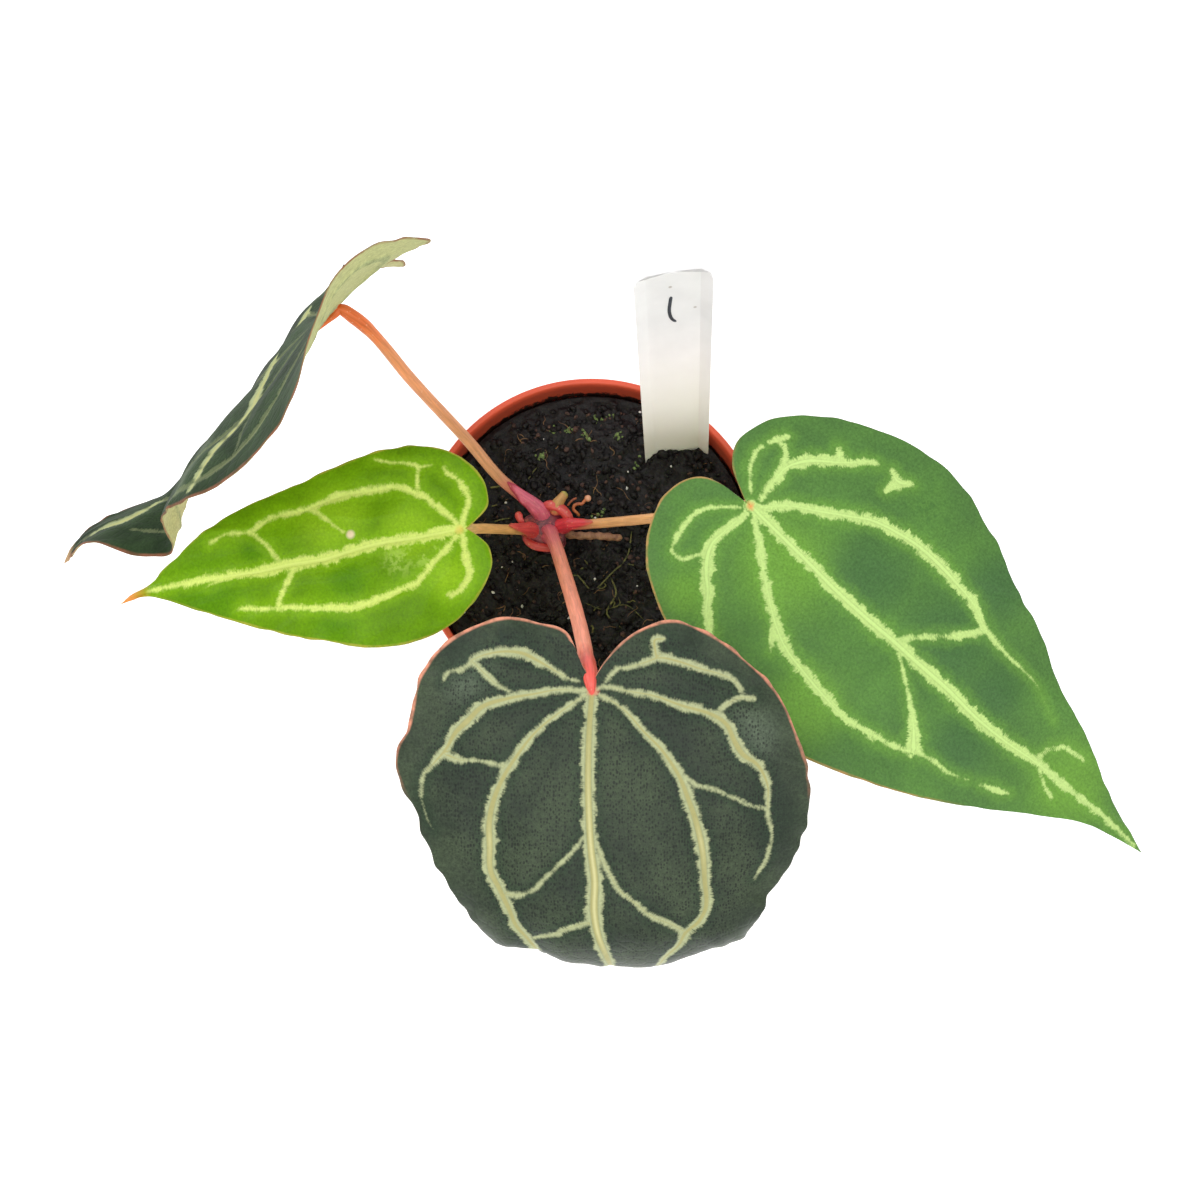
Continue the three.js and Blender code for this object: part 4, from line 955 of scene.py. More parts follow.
class ANTHURIUM_OT_crown(bpy.types.Operator):
    """Build the crown with its buried roots, the sheaths and the aerial root"""

    bl_idname = "anthurium.crown"
    bl_label = "Crown"

    def execute(self, context):
        # Living rhizome skin: fleshy and a little waxy, wine-red with coral spots. The colours follow the
        # skin's
        # bumps: darker red in their hollows, partly painted shade, and coral on their ridges, partly painted
        # highlight.
        flesh = object_finish("fleshy_rhizome_skin", "#552430", "#94414c", 3.2, 0.38, 0.25, "#cc665c", 0.1)
        z = 40 + 37.8 * np.linspace(0, 1, 90)
        profile = np.interp(z, *np.array(RHIZOME).T)
        scars = 1 + 0.03 * np.sin(z * 2.1)
        shift = np.interp(z, [64, 72], [0, 0.8])
        axis = np.column_stack([CROWN[0] - shift, CROWN[1] + shift, z])

        def section(angle, along):
            """Three and seven lobes that wind round the rhizome, stronger near its top."""
            lobes = 0.12 * np.sin(3 * angle + 5 * along) + 0.06 * np.sin(7 * angle - 9 * along)
            return 1 + lobes * np.clip((along - 0.6) * 4, 0.15, 1)

        parts = [tube(axis, profile * scars, 64, section)[:2]]
        for points in ROOTS:
            path = resample(points, 60)
            parts.append(tube(path, rounded(61, 1.4, end=0.08) * (1 + 0.06 * np.sin(np.arange(61))), 14)[:2])
        body, faces = join(parts)
        piece("rhizome", body, faces, flesh, ["stem"])

        # Membranous sheaths: smooth, glossy and coral-red, with lengthwise ribs.
        for key, (upper, under, flare, colours, swells) in SHEATHS.items():
            radius, points, _ = STALKS[key]
            parts = [self.collar(radius, points, upper, under, flare, swells)]
            if key == "left":
                ear = [(-17.6, 4.2, 79.6), (-18.4, 5.2, 80.1), (-18.8, 6.3, 80.4), (-18.7, 7.3, 80.4)]
                parts.append(self.skin(ear, [0.7, 0.85, 1.0, 0.8], 0.3))
            body, faces, skin, share = join(parts)
            finish = skin_finish("membranous_sheath_" + key, colours, 0.3, 0.3)
            piece("sheath_" + key, body, faces, finish, ["cataphyll_" + key],
                  {"skin_mm": skin, "share": share})

        # Remains of older sheaths: a coral ridge behind, a lip in front, and a stub dried to olive and tan.
        ridge = [(-12.9, 9, 77.3), (-11.3, 9.6, 78), (-9.2, 9.3, 78.2), (-7.4, 8.2, 77.8),
                 (-6.1, 6.6, 77.2), (-5.6, 5.2, 76)]
        lip = [(-17.4, 2.2, 75), (-16.6, 0.6, 75.4), (-15.1, -0.5, 75.5), (-13.2, -1, 75.5),
               (-11, -1.1, 75.4), (-9, -0.6, 74.6)]
        body, faces, skin, share = join([self.skin(ridge, [1, 1.4, 1.5, 1.4, 1.3, 1], 0.12),
                                         self.skin(lip, [0.8, 1, 1.1, 1.1, 1, 0.7], 0.12)])
        finish = skin_finish("old_sheath_ridges", ("#b8404a", "#cf4c46", "#c2444c"), 0.35, 0.2)
        piece("old_sheaths", body, faces, finish, (), {"skin_mm": skin, "share": share})
        stub = [(-9.4, 8.4, 76), (-8.8, 10, 78.2), (-7.8, 11.4, 78.9), (-6.6, 12.9, 79.2)]
        body, faces, skin, share = self.skin(stub, [2.3, 1.9, 1.25, 0.95], 0.12)
        body = body + np.array([0.12, 0.1, 0]) * np.sin(share * 9)[:, None]
        finish = skin_finish("drying_sheath", ("#c4504a", "#b98a54", "#a39a4e"), 0.5)
        piece("sheath_stub", body, faces, finish, (), {"skin_mm": skin, "share": share})

        # Dry aerial root: brown cork skin with dark flecks, narrowing at its torn end.
        bark = object_finish("corky_root_skin", "#7a5038", "#b08060", 1.5, 0.6, 0.3, "#4a2c20")
        path = resample(AERIAL_ROOT, 60)
        size = rounded(61, 1.0 + 0.12 * np.sin(np.arange(61) * 0.7), 0.05, 0.05)
        size *= np.interp(np.arange(61), [0, 44, 60], [1, 1, 0.8])
        body, faces = tube(path, size, 18)[:2]
        piece("dry_root", body, faces, bark, ["aerial_root"])

        # A curled thread that ends in a knob, and a torn one beside it. Dried root skin: orange-brown and
        # dull, shrunk to shallow wrinkles.
        curl = object_finish("curled_root_thread", "#c8703c", "#8a4434", 2.0, 0.5, 0.15)
        thread = [(-3.2, 8.1, 73.6), (-3.9, 8.6, 75), (-4.7, 9.3, 75.5), (-4.5, 10.2, 76), (-3.5, 10.7, 76),
                  (-2.5, 10.7, 76), (-1.6, 11.7, 76), (-1.2, 12, 76)]
        torn = [(-6.3, 10.6, 74.4), (-5.1, 11.9, 75), (-3.8, 12.7, 74.8)]
        body, faces = join([tube(resample(thread, 48), rounded(49, 0.42, 0.05, 0.05), 10)[:2],
                            tube(resample(torn, 24), rounded(25, 0.3, 0.05, 0.2), 8)[:2]])
        piece("curled_threads", body, faces, curl)
        # Its living tip: swollen, smooth and pale salmon, with a soft shine.
        tip = object_finish("swollen_root_tip", "#e0a482", "#d08a66", 1.2, 0.45, 0.1)
        path = resample([(-1.7, 11.8, 75.9), (-0.9, 12.1, 76.2), (-0.1, 12.3, 76)], 20)
        body, faces = tube(path, rounded(21, 0.9, 0.5, 0.5), 18)[:2]
        piece("root_knob", body, faces, tip)
        return {"FINISHED"}

    def skin(self, points, radii, end):
        """A round body along the points with the given radii, rounded off at both ends, and its skin
        coordinates and share along."""
        path = resample(points, 40)
        radius = np.interp(np.linspace(0, 1, 41), np.linspace(0, 1, len(radii)), radii)
        body, faces, spread, share, turn = tube(path, rounded(41, radius, end, end), 24,
                                                lambda a, u: 1 + 0.06 * np.sin(5 * a + 4 * u))
        return body, faces, np.column_stack([spread, np.cos(turn), np.sin(turn)]), share

    def collar(self, radius, points, upper, under, flare, swells):
        """A thin collar round a stalk's foot. Rows pass up its outside, over the edge and back down the
        inside to join up at the foot. The edge lies under + (upper - under)((1 + cos a) / 2)^2.4 along the
        stalk, where a is the angle from its upper side; the wall thins to it, flares, and swells."""
        path = resample(points, 200)
        steps = np.concatenate([[0], np.cumsum(np.linalg.norm(np.diff(path, axis=0), axis=1))])
        tangent = np.gradient(path, axis=0)
        tangent /= np.linalg.norm(tangent, axis=1)[:, None]
        a = np.linspace(-np.pi, np.pi, 56, endpoint=False)
        edge = under + (upper - under) * ((1 + np.cos(a)) / 2) ** 2.4
        edge = edge + 0.2 * np.sin(3 * a + 1) + 0.12 * np.sin(7 * a)
        up = np.linspace(0, 1, 34)
        u = np.concatenate([up, up[::-1]])[:, None]
        outer = np.repeat([1.0, 0.0], len(up))[:, None]
        s = 1.5 + (edge - 1.5)[None] * u
        r = girth(radius, s, steps[-1]) + 0.07 + flare * u**6
        r = r + outer * (0.34 * (1 - u**3) + 0.1 + 0.05 * np.sin(13 * a)[None])
        for at, turn, height, spread in swells:
            r = r + outer * height * np.exp(-(((s - at) / spread) ** 2) - ((a[None] - turn) / 0.75) ** 2)
        middle = np.stack([np.interp(s, steps, path[:, k]) for k in range(3)], axis=-1)
        ahead = np.stack([np.interp(s, steps, tangent[:, k]) for k in range(3)], axis=-1)
        side = np.stack([ahead[..., 1], -ahead[..., 0], 0 * s], axis=-1)
        side /= np.linalg.norm(side, axis=-1)[..., None]
        top = np.cross(side, ahead)
        body = middle + r[..., None] * (np.cos(a)[None, :, None] * top + np.sin(a)[None, :, None] * side)
        grid = np.arange(u.size * a.size).reshape(u.size, a.size)
        over, turned = np.roll(grid, -1, axis=0), np.roll(grid, -1, axis=1)
        quads = np.stack([grid, turned, np.roll(over, -1, axis=1), over], axis=-1).reshape(-1, 4)
        skin = np.stack([s, r * np.cos(a)[None], r * np.sin(a)[None]], axis=-1).reshape(-1, 3)
        return body.reshape(-1, 3), outward(body.reshape(-1, 3), [quads]), skin, (u + 0 * s).ravel()


class ANTHURIUM_OT_pot(bpy.types.Operator):
    """Build the moulded nursery pot"""

    bl_idname = "anthurium.pot"
    bl_label = "Pot"

    def execute(self, context):
        """The wall is a profile turned about the axis. The floor is eight equal sectors; in each, rings
        pass evenly from the round hole to the sector's own outline."""
        foot, disc, around, holes = POT["foot"], POT["disc"], 24, POT["holes"]
        m = around * holes
        turn = (np.arange(m) / m) * 2 * np.pi
        rows = np.array(WALL)
        fine = [rows[:1]]
        for a, b in zip(rows[:-1], rows[1:]):
            steps = max(1, int(np.hypot(*(b - a)) / 2.2))
            fine.append(a + (b - a) * (np.arange(1, steps + 1) / steps)[:, None])
        rows = np.vstack(fine)
        wall = circle(rows[:, :1], rows[:, 1:], turn)
        grid = np.arange(len(rows) * m).reshape(len(rows), m)
        turned = np.roll(grid, -1, axis=1)
        parts = [(wall.reshape(-1, 3), [np.stack([grid[:-1], turned[:-1], turned[1:], grid[1:]],
                                                 axis=-1).reshape(-1, 4)])]
        # One sector's outline as a square walked once round, outer arc first.
        k = np.linspace(-1, 1, around + 1)[:-1]
        one = np.ones(around)
        square = np.vstack([np.column_stack([one, k]), np.column_stack([-k, one]),
                            np.column_stack([-one, -k]), np.column_stack([k, -one])])
        rho = (foot + disc) / 2 + (foot - disc) / 2 * square[:, 0]
        phi = square[:, 1] * np.pi / holes
        out = np.column_stack([rho * np.cos(phi), rho * np.sin(phi)])
        angle = np.arctan2(square[:, 1], square[:, 0])
        ring = np.column_stack([POT["circle"] + POT["hole"] * np.cos(angle), POT["hole"] * np.sin(angle)])
        mix = np.linspace(0, 1, 7)[:, None, None]
        plate = ring * (1 - mix) + out * mix
        s = len(square)
        grid = np.arange(len(plate) * s).reshape(-1, s)
        after = np.roll(grid, -1, axis=1)
        quads = np.stack([grid[:-1], after[:-1], after[1:], grid[1:]], axis=-1).reshape(-1, 4)
        for i in range(holes):
            a = 2 * np.pi * (i + 0.5) / holes
            spin = np.array([[np.cos(a), np.sin(a)], [-np.sin(a), np.cos(a)]])
            flat = (plate @ spin).reshape(-1, 2)
            low = np.column_stack([flat, np.zeros(len(flat))])
            high = np.column_stack([flat, np.full(len(flat), POT["floor"])])
            parts += [(low, [quads[:, ::-1]]), (high, [quads])]
            rim = np.vstack([low[:s], high[:s]])
            here, on = grid[0], after[0]
            parts.append((rim, [np.column_stack([here, here + s, on + s, on])]))
        plain = [circle(r, 0, turn) for r in np.linspace(0, disc, 6)[1:]]
        grid = np.arange(len(plain) * m).reshape(-1, m)
        after = np.roll(grid, -1, axis=1)
        flat = [np.stack([grid[:-1], grid[1:], after[1:], after[:-1]], axis=-1).reshape(-1, 4),
                np.stack([np.full(m, grid.size), grid[0], after[0]], axis=-1)]
        plain = np.vstack([*plain, [[0, 0, 0]]])
        parts += [(plain, [f[:, ::-1] for f in flat]), (plain + (0, 0, POT["floor"]), flat)]
        body, faces = join(parts)

        # Injection-moulded polypropylene: an even satin skin, with splashes of mix on the wet inner wall and
        # painted shade darkening the inner wall just above the mix.
        finish, add, shader = new_finish("moulded_polypropylene_terracotta")
        place = add("TexCoord", out="Object")
        x, y, z = add("SeparateXYZ", [place]).node.outputs
        skin = add("TexNoise", {"Vector": place, "Scale": 900.0, "Detail": 2.0})
        drift = add("TexNoise", {"Vector": place, "Scale": 60.0, "Detail": 3.0})
        tone = add("MapRange", (drift, 0.3, 0.7, 0.92, 1.06))
        colour = add("VectorMath", {0: tuple(context.scene.anthurium.pot), "Scale": tone}, operation="SCALE")
        # The inner wall above the collar: its radius grows by 0.055 of its height.
        reach = add("VectorMath", [add("CombineXYZ", (x, y))], out="Value", operation="LENGTH")
        within = add("Math", (z, -0.055, reach), operation="MULTIPLY_ADD")
        within = add("Math", (within, 39.5 * MM), operation="LESS_THAN")
        high = add("Math", (z, 59.7 * MM), operation="GREATER_THAN")
        # The mix lies higher at the back, and so does its splash line; above it the inner wall is darkened as
        # painted shade, which fades out a few millimetres higher.
        above = add("Math", (y, -0.1, z), operation="MULTIPLY_ADD")
        wet = add("MapRange", (above, 66.8 * MM, 69.8 * MM, 1.0, 0.0))
        splash_and_shade = add("TexNoise", {"Vector": place, "Scale": 420.0, "Detail": 5.0, "Roughness": 0.7})
        splash_and_shade = add("Math", (wet, 0.34, splash_and_shade), operation="MULTIPLY_ADD")
        splash_and_shade = add("MapRange", (splash_and_shade, 0.66, 0.78))
        painted_wall_shade = add("MapRange", (above, 71.5 * MM, 73.8 * MM, 0.36, 0.0))
        splash_and_shade = add("Math", (splash_and_shade, painted_wall_shade), operation="MAXIMUM")
        feed(shader, {
            "Base Color": paint(add, colour, ("#2a1a16", splash_and_shade, within, high)),
            "Normal": add("Bump", {"Strength": 0.12, "Distance": 0.1 * MM, "Height": skin}),
            "Roughness": 0.42,
            "Specular IOR Level": 0.35,
        })
        made = piece("nursery_pot", body, faces, finish, ["pot"])
        self.weld(made.data)
        made.data.set_sharp_from_angle(angle=40 * DEG)
        return {"FINISHED"}

    def weld(self, mesh):
        """Merges points closer than a hundredth of a millimetre, where wall, floor and holes meet."""
        work = bmesh.new()
        work.from_mesh(mesh)
        bmesh.ops.remove_doubles(work, verts=work.verts, dist=0.01 * MM)
        bmesh.ops.recalc_face_normals(work, faces=work.faces)
        loose = [e for e in work.edges if len(e.link_faces) != 2]
        if loose:
            raise RuntimeError("the pot isn't closed: %d edges" % len(loose))
        work.to_mesh(mesh)
        work.free()


class ANTHURIUM_OT_mix(bpy.types.Operator):
    """Build the mix with its crumbs, grit, fibres and moss"""

    bl_idname = "anthurium.mix"
    bl_label = "Mix"

    @staticmethod
    def ground(x, y):
        """Height of the mix: the solid's low lumps, then crumbs of five sizes from 6 to 0.5 mm as value
        noise, ridged at 3.4 mm, fading at the wall."""
        edge = np.clip(1 - (np.hypot(x, y) / SOIL["radius"]) ** 4, 0, 1)
        lumps = np.sin(0.31 * x + 0.9) * np.cos(0.27 * y - 0.4) + 0.6 * np.sin(0.52 * y + 0.36 * x)
        rough = 0.8 * noise(x, y, 6, 101) + 0.75 * (0.5 - np.abs(noise(x + y, x - y, 3.4, 102)))
        for height, size, seed in ((0.6, 1.9, 103), (0.32, 0.95, 104), (0.16, 0.5, 105)):
            rough = rough + height * noise(x, y, size, seed)
        fade = np.clip((SOIL["radius"] - np.hypot(x, y)) / 2, 0.15, 1)
        slope = SOIL["fall"] * x + SOIL["climb"] * y
        return SOIL["top"] + slope + SOIL["lump"] * lumps * edge + rough * fade

    def execute(self, context):
        settings = context.scene.anthurium
        m, count = 400, 150
        turn = np.arange(m) / m * 2 * np.pi
        radii = SOIL["radius"] * np.arange(1, count + 1) / count
        x, y = radii[:, None] * np.cos(turn), radii[:, None] * np.sin(turn)
        top = np.stack([x, y, self.ground(x, y)], axis=-1)
        # Down the pot's inside to its floor, a third of a millimetre clear of both.
        side = [(SOIL["radius"] - 0.2, 59.7), (39.1, 58.7), (35, 32), (30.4, 3), (30, 2.1), (15, 2.1)]
        wall = [circle(r, z, turn) for r, z in side]
        body = np.vstack([np.vstack([top, wall]).reshape(-1, 3), [[0, 0, self.ground(0, 0)], [0, 0, 2.1]]])
        rows = count + len(side)
        faces = rings(np.arange(rows * m).reshape(rows, m), rows * m, rows * m + 1)
        # Peat and fine bark: near black when wet, with brown crumbs and a faint wet glint.
        peat = object_finish("wet_peat_and_bark", "#050405", "#181213", 1.8, 0.55, 0.6, "#30241f", 0.05, 0.3)
        piece("peat_surface", body, outward(body, faces), peat, ["soil"])

        rng = np.random.default_rng(7)
        tufts = np.repeat(np.array(LITTER["tufts"]), 9, axis=0)
        tufts = tufts + rng.normal(0, 0.75, tufts.shape)
        grit = np.vstack([LITTER["grit"], self.spots(rng, 14)])
        # Half-rotted bark, matt red-brown; moss and algae in tiny leaves, which look soft; perlite, a blown
        # volcanic glass whose broken bubbles make it chalky.
        bark = object_finish("composted_bark", "#33201c", "#5c4034", 1.2, 0.75, 0.3, "#181010")
        green = object_finish("moss_and_algae", "#46562a", "#869a58", 1.0, 0.75, 0.3, "#28361e")
        white = object_finish("expanded_perlite", "#cfc6c2", "#f0ece6", 0.6, 0.8, 0.15)
        kinds = [("bark_crumbs", self.spots(rng, settings.crumbs), 0.45, 1.5, peat),
                 ("brown_bark", self.spots(rng, settings.crumbs // 3), 0.3, 1.0, bark),
                 ("green_tufts", tufts, 0.3, 0.75, green),
                 ("perlite", grit, 0.3, 0.62, white)]
        for name, places, low, high, finish in kinds:
            body, faces = self.crumbs(rng, places, low, high)
            piece(name, body, faces, finish)
        # Coconut fibre, dry, tan and matt; dead and living moss strands, dull olive to straw.
        fibres = object_finish("coir_fibre", "#4a3424", "#86643f", 2.0, 0.7, 0.1)
        moss = object_finish("moss_strands", "#3a3e20", "#6e6a38", 1.5, 0.8, 0.2, "#8a7a4c")
        lines = self.wander(rng, settings.strands, 6)
        bits = [[(x, y), (x + 1.1, y + 0.5), (x + 2.3, y + 0.4)] for x, y in LITTER["bits"]]
        body, faces = self.strands(rng, lines + bits, 0.07, 0.15)
        piece("coir_fibres", body, faces, fibres)
        short = [line for line in self.wander(rng, settings.strands * 2, 4)
                 if abs(line[0][0] - 7) < 12 and abs(line[0][1] + 12) < 9]
        body, faces = self.strands(rng, LITTER["strands"] + short, 0.16, 0.3)
        piece("moss_strands", body, faces, moss)
        return {"FINISHED"}

    def spots(self, rng, count):
        """Random places on the mix, clear of the crown and the wall."""
        r = 40.5 * np.sqrt(rng.uniform(0, 1, count))
        a = rng.uniform(0, 2 * np.pi, count)
        x, y = r * np.cos(a), r * np.sin(a)
        return np.column_stack([x, y])[self.clear(x, y)]

    def clear(self, x, y):
        """Whether places lie more than 2 mm from the wall and 7.5 mm from the crown's middle."""
        return (np.hypot(x, y) < 40) & (np.hypot(x - CROWN[0], y - CROWN[1]) > 7.5)

    def wander(self, rng, count, reach):
        """Random short curves on the mix, as lists of (x, y) points."""
        lines = []
        for x, y in self.spots(rng, count):
            heading = rng.uniform(0, 2 * np.pi) + np.cumsum(rng.normal(0, 0.6, 5))
            step = rng.uniform(0.3, 1.0) * reach / 5
            px = x + np.concatenate([[0], np.cumsum(np.cos(heading) * step)])
            py = y + np.concatenate([[0], np.cumsum(np.sin(heading) * step)])
            if self.clear(px, py).all():
                lines.append(list(zip(px, py)))
        return lines

    def crumbs(self, rng, places, low, high):
        """Many small lumps: each is one seven-sided body with four rings, pulled about at random and
        turned, with its middle a little above the mix."""
        x, y = places[:, 0], places[:, 1]
        many = len(x)
        size = rng.uniform(low, high, many) * rng.uniform(0.6, 1.0, many)
        lat = np.array([-0.62, -0.1, 0.45, 0.8])
        lon = np.arange(7) / 7 * 2 * np.pi
        wide = np.sqrt(1 - lat**2)[:, None]
        ring = np.stack([wide * np.cos(lon), wide * np.sin(lon), lat[:, None] + 0 * lon], axis=-1)
        ring = ring.reshape(-1, 3)
        unit = np.vstack([ring, [[0, 0, -1], [0, 0, 1]]])
        form = unit[None] * rng.uniform(0.7, 1.3, (many, len(unit), 1))
        form *= rng.uniform(0.55, 1.25, (many, 1, 3))
        # Turned about the upright by a, then tipped about X by b.
        a, b = rng.uniform(0, 2 * np.pi, (many, 1)), rng.uniform(-0.8, 0.8, (many, 1))
        fx, fy, fz = form[..., 0], form[..., 1], form[..., 2]
        fx, fy = fx * np.cos(a) - fy * np.sin(a), fx * np.sin(a) + fy * np.cos(a)
        fy, fz = fy * np.cos(b) - fz * np.sin(b), fy * np.sin(b) + fz * np.cos(b)
        middle = np.column_stack([x, y, self.ground(x, y) + 0.15 * size])
        points = np.stack([fx, fy, fz], axis=-1) * size[:, None, None] + middle[:, None]
        count = len(ring)
        faces = outward(unit, rings(np.arange(count).reshape(len(lat), len(lon)), count, count + 1))
        shift = (np.arange(many) * len(unit))[:, None, None]
        return points.reshape(-1, 3), [(f[None] + shift).reshape(-1, f.shape[1]) for f in faces]

    def strands(self, rng, lines, thin, thick):
        """Fine strands that lie in curves on the mix: each a five-sided tube over 16 stations."""
        parts = []
        for line in lines:
            px, py = resample(line, 15).T
            pz = self.ground(px, py)
            pz = np.convolve(np.pad(pz, 2, mode="edge"), np.ones(5) / 5, mode="valid") + 0.35
            pz = pz + np.abs(rng.normal(0, 0.25)) * np.sin(np.linspace(0, np.pi, 16))
            radius = rounded(16, rng.uniform(thin, thick), 0.2, 0.3)
            parts.append(tube(np.column_stack([px, py, pz]), radius, 5)[:2])
        return join(parts)


class ANTHURIUM_OT_label(bpy.types.Operator):
    """Build the folded plant label and its pen stroke"""

    bl_idname = "anthurium.label"
    bl_label = "Label"

    def execute(self, context):
        """The strip's outline across is a bent band; along it each ring narrows to the pointed foot and,
        over the last two millimetres, to the softened top corners. It widens by a tenth from the mix to the
        top, and its left flange is the more open one."""
        s = LABEL
        top = s["above"]
        out, fore = s["flange"] * math.cos(s["fold"] * DEG), s["flange"] * math.sin(s["fold"] * DEG)
        h, t = s["face"] / 2, s["thick"]
        front = np.array([(-h - out, -fore), (-h, 0), (h, 0), (h + out, -fore)], float)
        back = np.array([(h + out, t - fore), (h, t), (-h, t), (-h - out, t - fore)], float)
        loop = []
        for line in (front, back):
            for a, b in zip(line[:-1], line[1:]):
                loop.append(a + (b - a) * (np.arange(8) / 8)[:, None])
            loop.append(line[-1:])
        loop = np.vstack(loop)
        low, point = -s["buried"], -s["buried"] + s["point"]
        z = np.concatenate([np.linspace(low, point, 12), np.linspace(0, top - 2.4, 24),
                            top - np.array([1.8, 1.2, 0.6, 0.25, 0])])
        limit = np.interp(z, [low, point, top - 2.2, top - 0.3, top],
                          [s["foot"], h + out, h + out, h + out - 0.5, h + out - 0.9])
        across = np.clip(loop[None, :, 0], -limit[:, None], limit[:, None])
        deep = np.interp(np.abs(across), [0, h, h + out], [0, 0, -fore])
        deep = deep + np.where(np.arange(len(loop)) >= len(loop) // 2, t, 0)[None, :]
        wider = 0.93 + 0.09 * np.clip(z / top, 0, 1)[:, None]
        opened = np.clip(-across - h, 0, None) * 0.22
        body = np.stack([across * wider - opened, deep + opened, z[:, None] + 0 * across], axis=-1)
        ends = [[0, t / 2, z[0]], [0, t / 2, z[-1]]]
        body = self.place(np.vstack([body.reshape(-1, 3), ends]))
        count = len(z) * len(loop)
        faces = rings(np.arange(count).reshape(len(z), len(loop)), count, count + 1)
        # Extruded rigid PVC strip: cool white, satin, with faint scuffs and grime near the mix.
        finish, add, shader = new_finish("white_pvc_label")
        place = add("TexCoord", out="Object")
        z = add("SeparateXYZ", [place], out="Z")
        scuff = add("TexNoise", {"Vector": place, "Scale": 130.0, "Detail": 5.0})
        specks = add("TexVoronoi", {"Vector": place, "Scale": 110.0}, feature="F1")
        specks = add("MapRange", (specks, 0.03, 0.06, 0.6, 0.0))
        tone = add("MapRange", (scuff, 0.3, 0.7, 0.94, 1.02))
        colour = tuple(context.scene.anthurium.label)
        colour = add("VectorMath", {0: colour, "Scale": tone}, operation="SCALE")
        # Painted warm light: up to 85 mm the strip is painted a brighter, warmer white, fading out by 135 mm,
        # standing in for light thrown back from the pot onto its shaded lower part.
        painted_warm_light = add("MapRange", (z, 85 * MM, 135 * MM, 1.0, 0.0))
        grime = add("MapRange", (z, 70.5 * MM, 72.5 * MM, 0.25, 0.0))
        feed(shader, {
            "Base Color": paint(add, colour, ("#8a7868", specks), ("#fff6ec", painted_warm_light),
                                ("#8c8074", grime, scuff)),
            "Normal": add("Bump", {"Strength": 0.1, "Distance": 0.2 * MM, "Height": scuff}),
            "Roughness": 0.4,
            # Thin PVC lets a little light through from behind.
            "Subsurface Weight": 0.3,
            "Subsurface Radius": (1.0, 1.0, 1.0),
            "Subsurface Scale": 2.5 * MM,
        })
        made = piece("plant_label", body, outward(body, faces), finish, ["label"])
        made.data.set_sharp_from_angle(angle=30 * DEG)

        # A plain felt-pen stroke, a shallow hook 11 mm long: dried ink, blue-black and dull, that lies a
        # little above the face.
        ink = object_finish("dried_pen_ink", "#23262e", "#3a3d46", 1.0, 0.5, 0.05)
        hook = [(-0.7, 0, 76.5), (-1, 0, 73.6), (-1.2, 0, 71), (-1.1, 0, 69), (-0.6, 0, 66.8), (0.4, 0, 65.2)]
        body, faces = tube(resample(hook, 40), rounded(41, 0.42, 0.08, 0.08), 12)[:2]
        body[:, 1] = -0.03 + body[:, 1] * 0.12
        piece("pen_stroke", self.place(body), faces, ink)
        return {"FINISHED"}

    def place(self, points):
        """Turns the strip about its length and leans it backwards and to the left about its foot."""
        a, b, c = -LABEL["tilt"] * DEG, -LABEL["lean"] * DEG, LABEL["turn"] * DEG
        turn = np.array([[math.cos(c), -math.sin(c), 0], [math.sin(c), math.cos(c), 0], [0, 0, 1]])
        tilt = np.array([[1, 0, 0], [0, math.cos(a), -math.sin(a)], [0, math.sin(a), math.cos(a)]])
        lean = np.array([[math.cos(b), 0, math.sin(b)], [0, 1, 0], [-math.sin(b), 0, math.cos(b)]])
        return points @ (lean @ tilt @ turn).T + LABEL["base"]


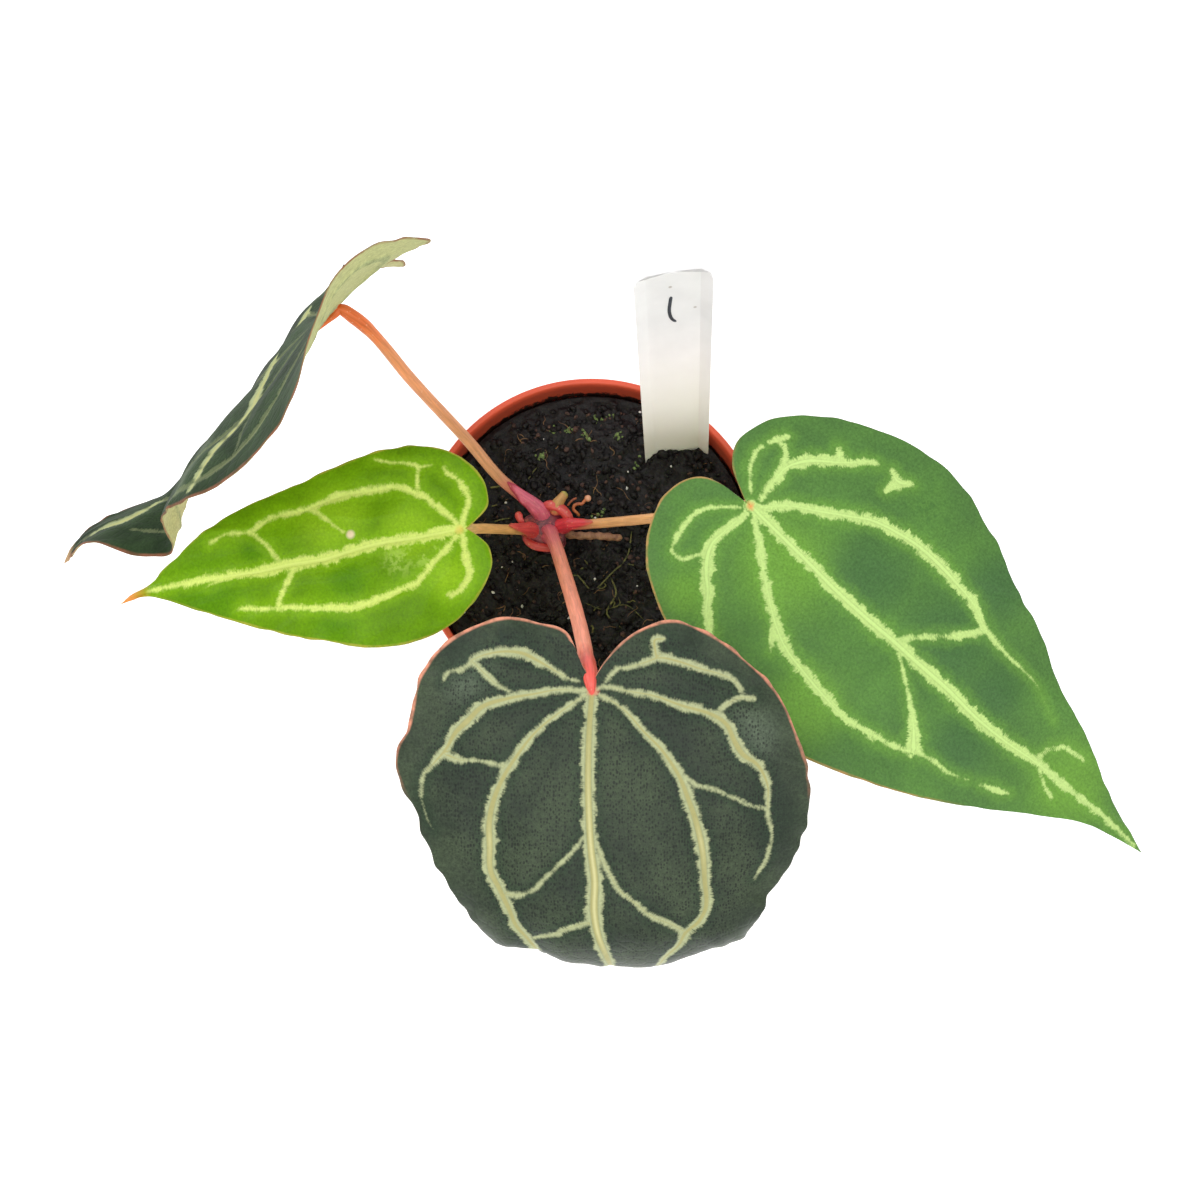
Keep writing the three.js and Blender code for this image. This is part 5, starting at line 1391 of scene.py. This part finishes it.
class ANTHURIUM_OT_stage(bpy.types.Operator):
    """Set up the pale floor, the soft light and the camera"""

    bl_idname = "anthurium.stage"
    bl_label = "Stage"

    def execute(self, context):
        scene = context.scene
        gx, gy = np.meshgrid(np.linspace(-1.5, 1.5, 13), np.linspace(-1.5, 1.5, 13))
        points = np.stack([gx, gy, 0 * gx], axis=-1).reshape(-1, 3)
        grid = np.arange(gx.size).reshape(gx.shape)
        quads = np.stack([grid[:-1, :-1], grid[:-1, 1:], grid[1:, 1:], grid[1:, :-1]], axis=-1).reshape(-1, 4)
        mesh = bpy.data.meshes.new("studio_floor")
        mesh.from_pydata(points.tolist(), [], quads.tolist())
        floor = bpy.data.objects.new("studio_floor", mesh)
        scene.collection.objects.link(floor)
        # Matt white paper sweep that glows a little, so that it stays white.
        finish, _, shader = new_finish("white_paper_sweep")
        feed(shader, {"Base Color": linear("#fdfdfd"), "Roughness": 0.9, "Specular IOR Level": 0.0,
                      "Emission Color": linear("#ffffff"), "Emission Strength": 0.45})
        mesh.materials.append(finish)

        world = bpy.data.worlds.new("soft_white_room")
        world.use_nodes = True
        feed(world.node_tree.nodes["Background"], (linear("#fbfcff"), scene.anthurium.light))
        scene.world = world
        for name, place, size, power in (
            ("key_softbox", (-0.5, 0.35, 0.95), 0.7, 4.5),
            ("fill_softbox", (0.7, -0.5, 0.7), 0.8, 1.5),
            ("front_softbox", (0, -0.5, 0.88), 0.7, 3.2),
        ):
            light = bpy.data.lights.new(name, "AREA")
            light.shape, light.size, light.energy = "SQUARE", size, power
            lamp = bpy.data.objects.new(name, light)
            lamp.location = place
            back = np.array(place) - (0, 0, 0.1)  # they all aim at the plant's middle
            lamp.rotation_euler = (math.acos(back[2] / np.linalg.norm(back)), 0,
                                   math.atan2(back[1], back[0]) + math.pi / 2)
            scene.collection.objects.link(lamp)
        scene.view_settings.view_transform = "Standard"

        # Looks down at 76 degrees from half a metre above the rim.
        camera = bpy.data.cameras.new("camera")
        camera.sensor_width = 36
        camera.lens = VIEW["lens"]
        camera.clip_start, camera.clip_end = 0.01, 10
        eye = bpy.data.objects.new("camera", camera)
        eye.location = VIEW["place"]
        eye.rotation_euler = (VIEW["tilt"] * DEG, 0, 0)
        scene.collection.objects.link(eye)
        scene.camera = eye
        return {"FINISHED"}


STEPS = ["blades", "stalks", "crown", "pot", "mix", "label", "stage"]


class ANTHURIUM_PT_panel(bpy.types.Panel):
    """Lists the pieces and their settings"""

    bl_idname = "ANTHURIUM_PT_panel"
    bl_label = "Potted anthurium hybrid"
    bl_space_type = "VIEW_3D"
    bl_region_type = "UI"
    bl_category = "Anthurium"

    def draw(self, context):
        settings = context.scene.anthurium
        for key in ("pot", "label", "crumbs", "strands", "light"):
            self.layout.prop(settings, key)
        for key in LEAVES:
            box = self.layout.box()
            box.label(text=key)
            for tone in ("dark", "mid", "pale", "thick"):
                box.prop(getattr(settings, key), tone)
        for step in STEPS:
            self.layout.operator("anthurium." + step)


CLASSES = [BladeTones, PlantSettings, ANTHURIUM_OT_blades, ANTHURIUM_OT_stalks, ANTHURIUM_OT_crown,
           ANTHURIUM_OT_pot, ANTHURIUM_OT_mix, ANTHURIUM_OT_label, ANTHURIUM_OT_stage, ANTHURIUM_PT_panel]


def register():
    for item in CLASSES:
        bpy.utils.register_class(item)
    bpy.types.Scene.anthurium = bpy.props.PointerProperty(type=PlantSettings)


def unregister():
    del bpy.types.Scene.anthurium
    for item in reversed(CLASSES):
        bpy.utils.unregister_class(item)


def main():
    """Registers the add-on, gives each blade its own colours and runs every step."""
    register()
    for key, look in LOOKS.items():
        tones = getattr(bpy.context.scene.anthurium, key)
        for tone in ("dark", "mid", "pale"):
            setattr(tones, tone, linear(look[tone])[:3])
    for step in STEPS:
        getattr(bpy.ops.anthurium, step)()


if __name__ == "__main__":
    main()
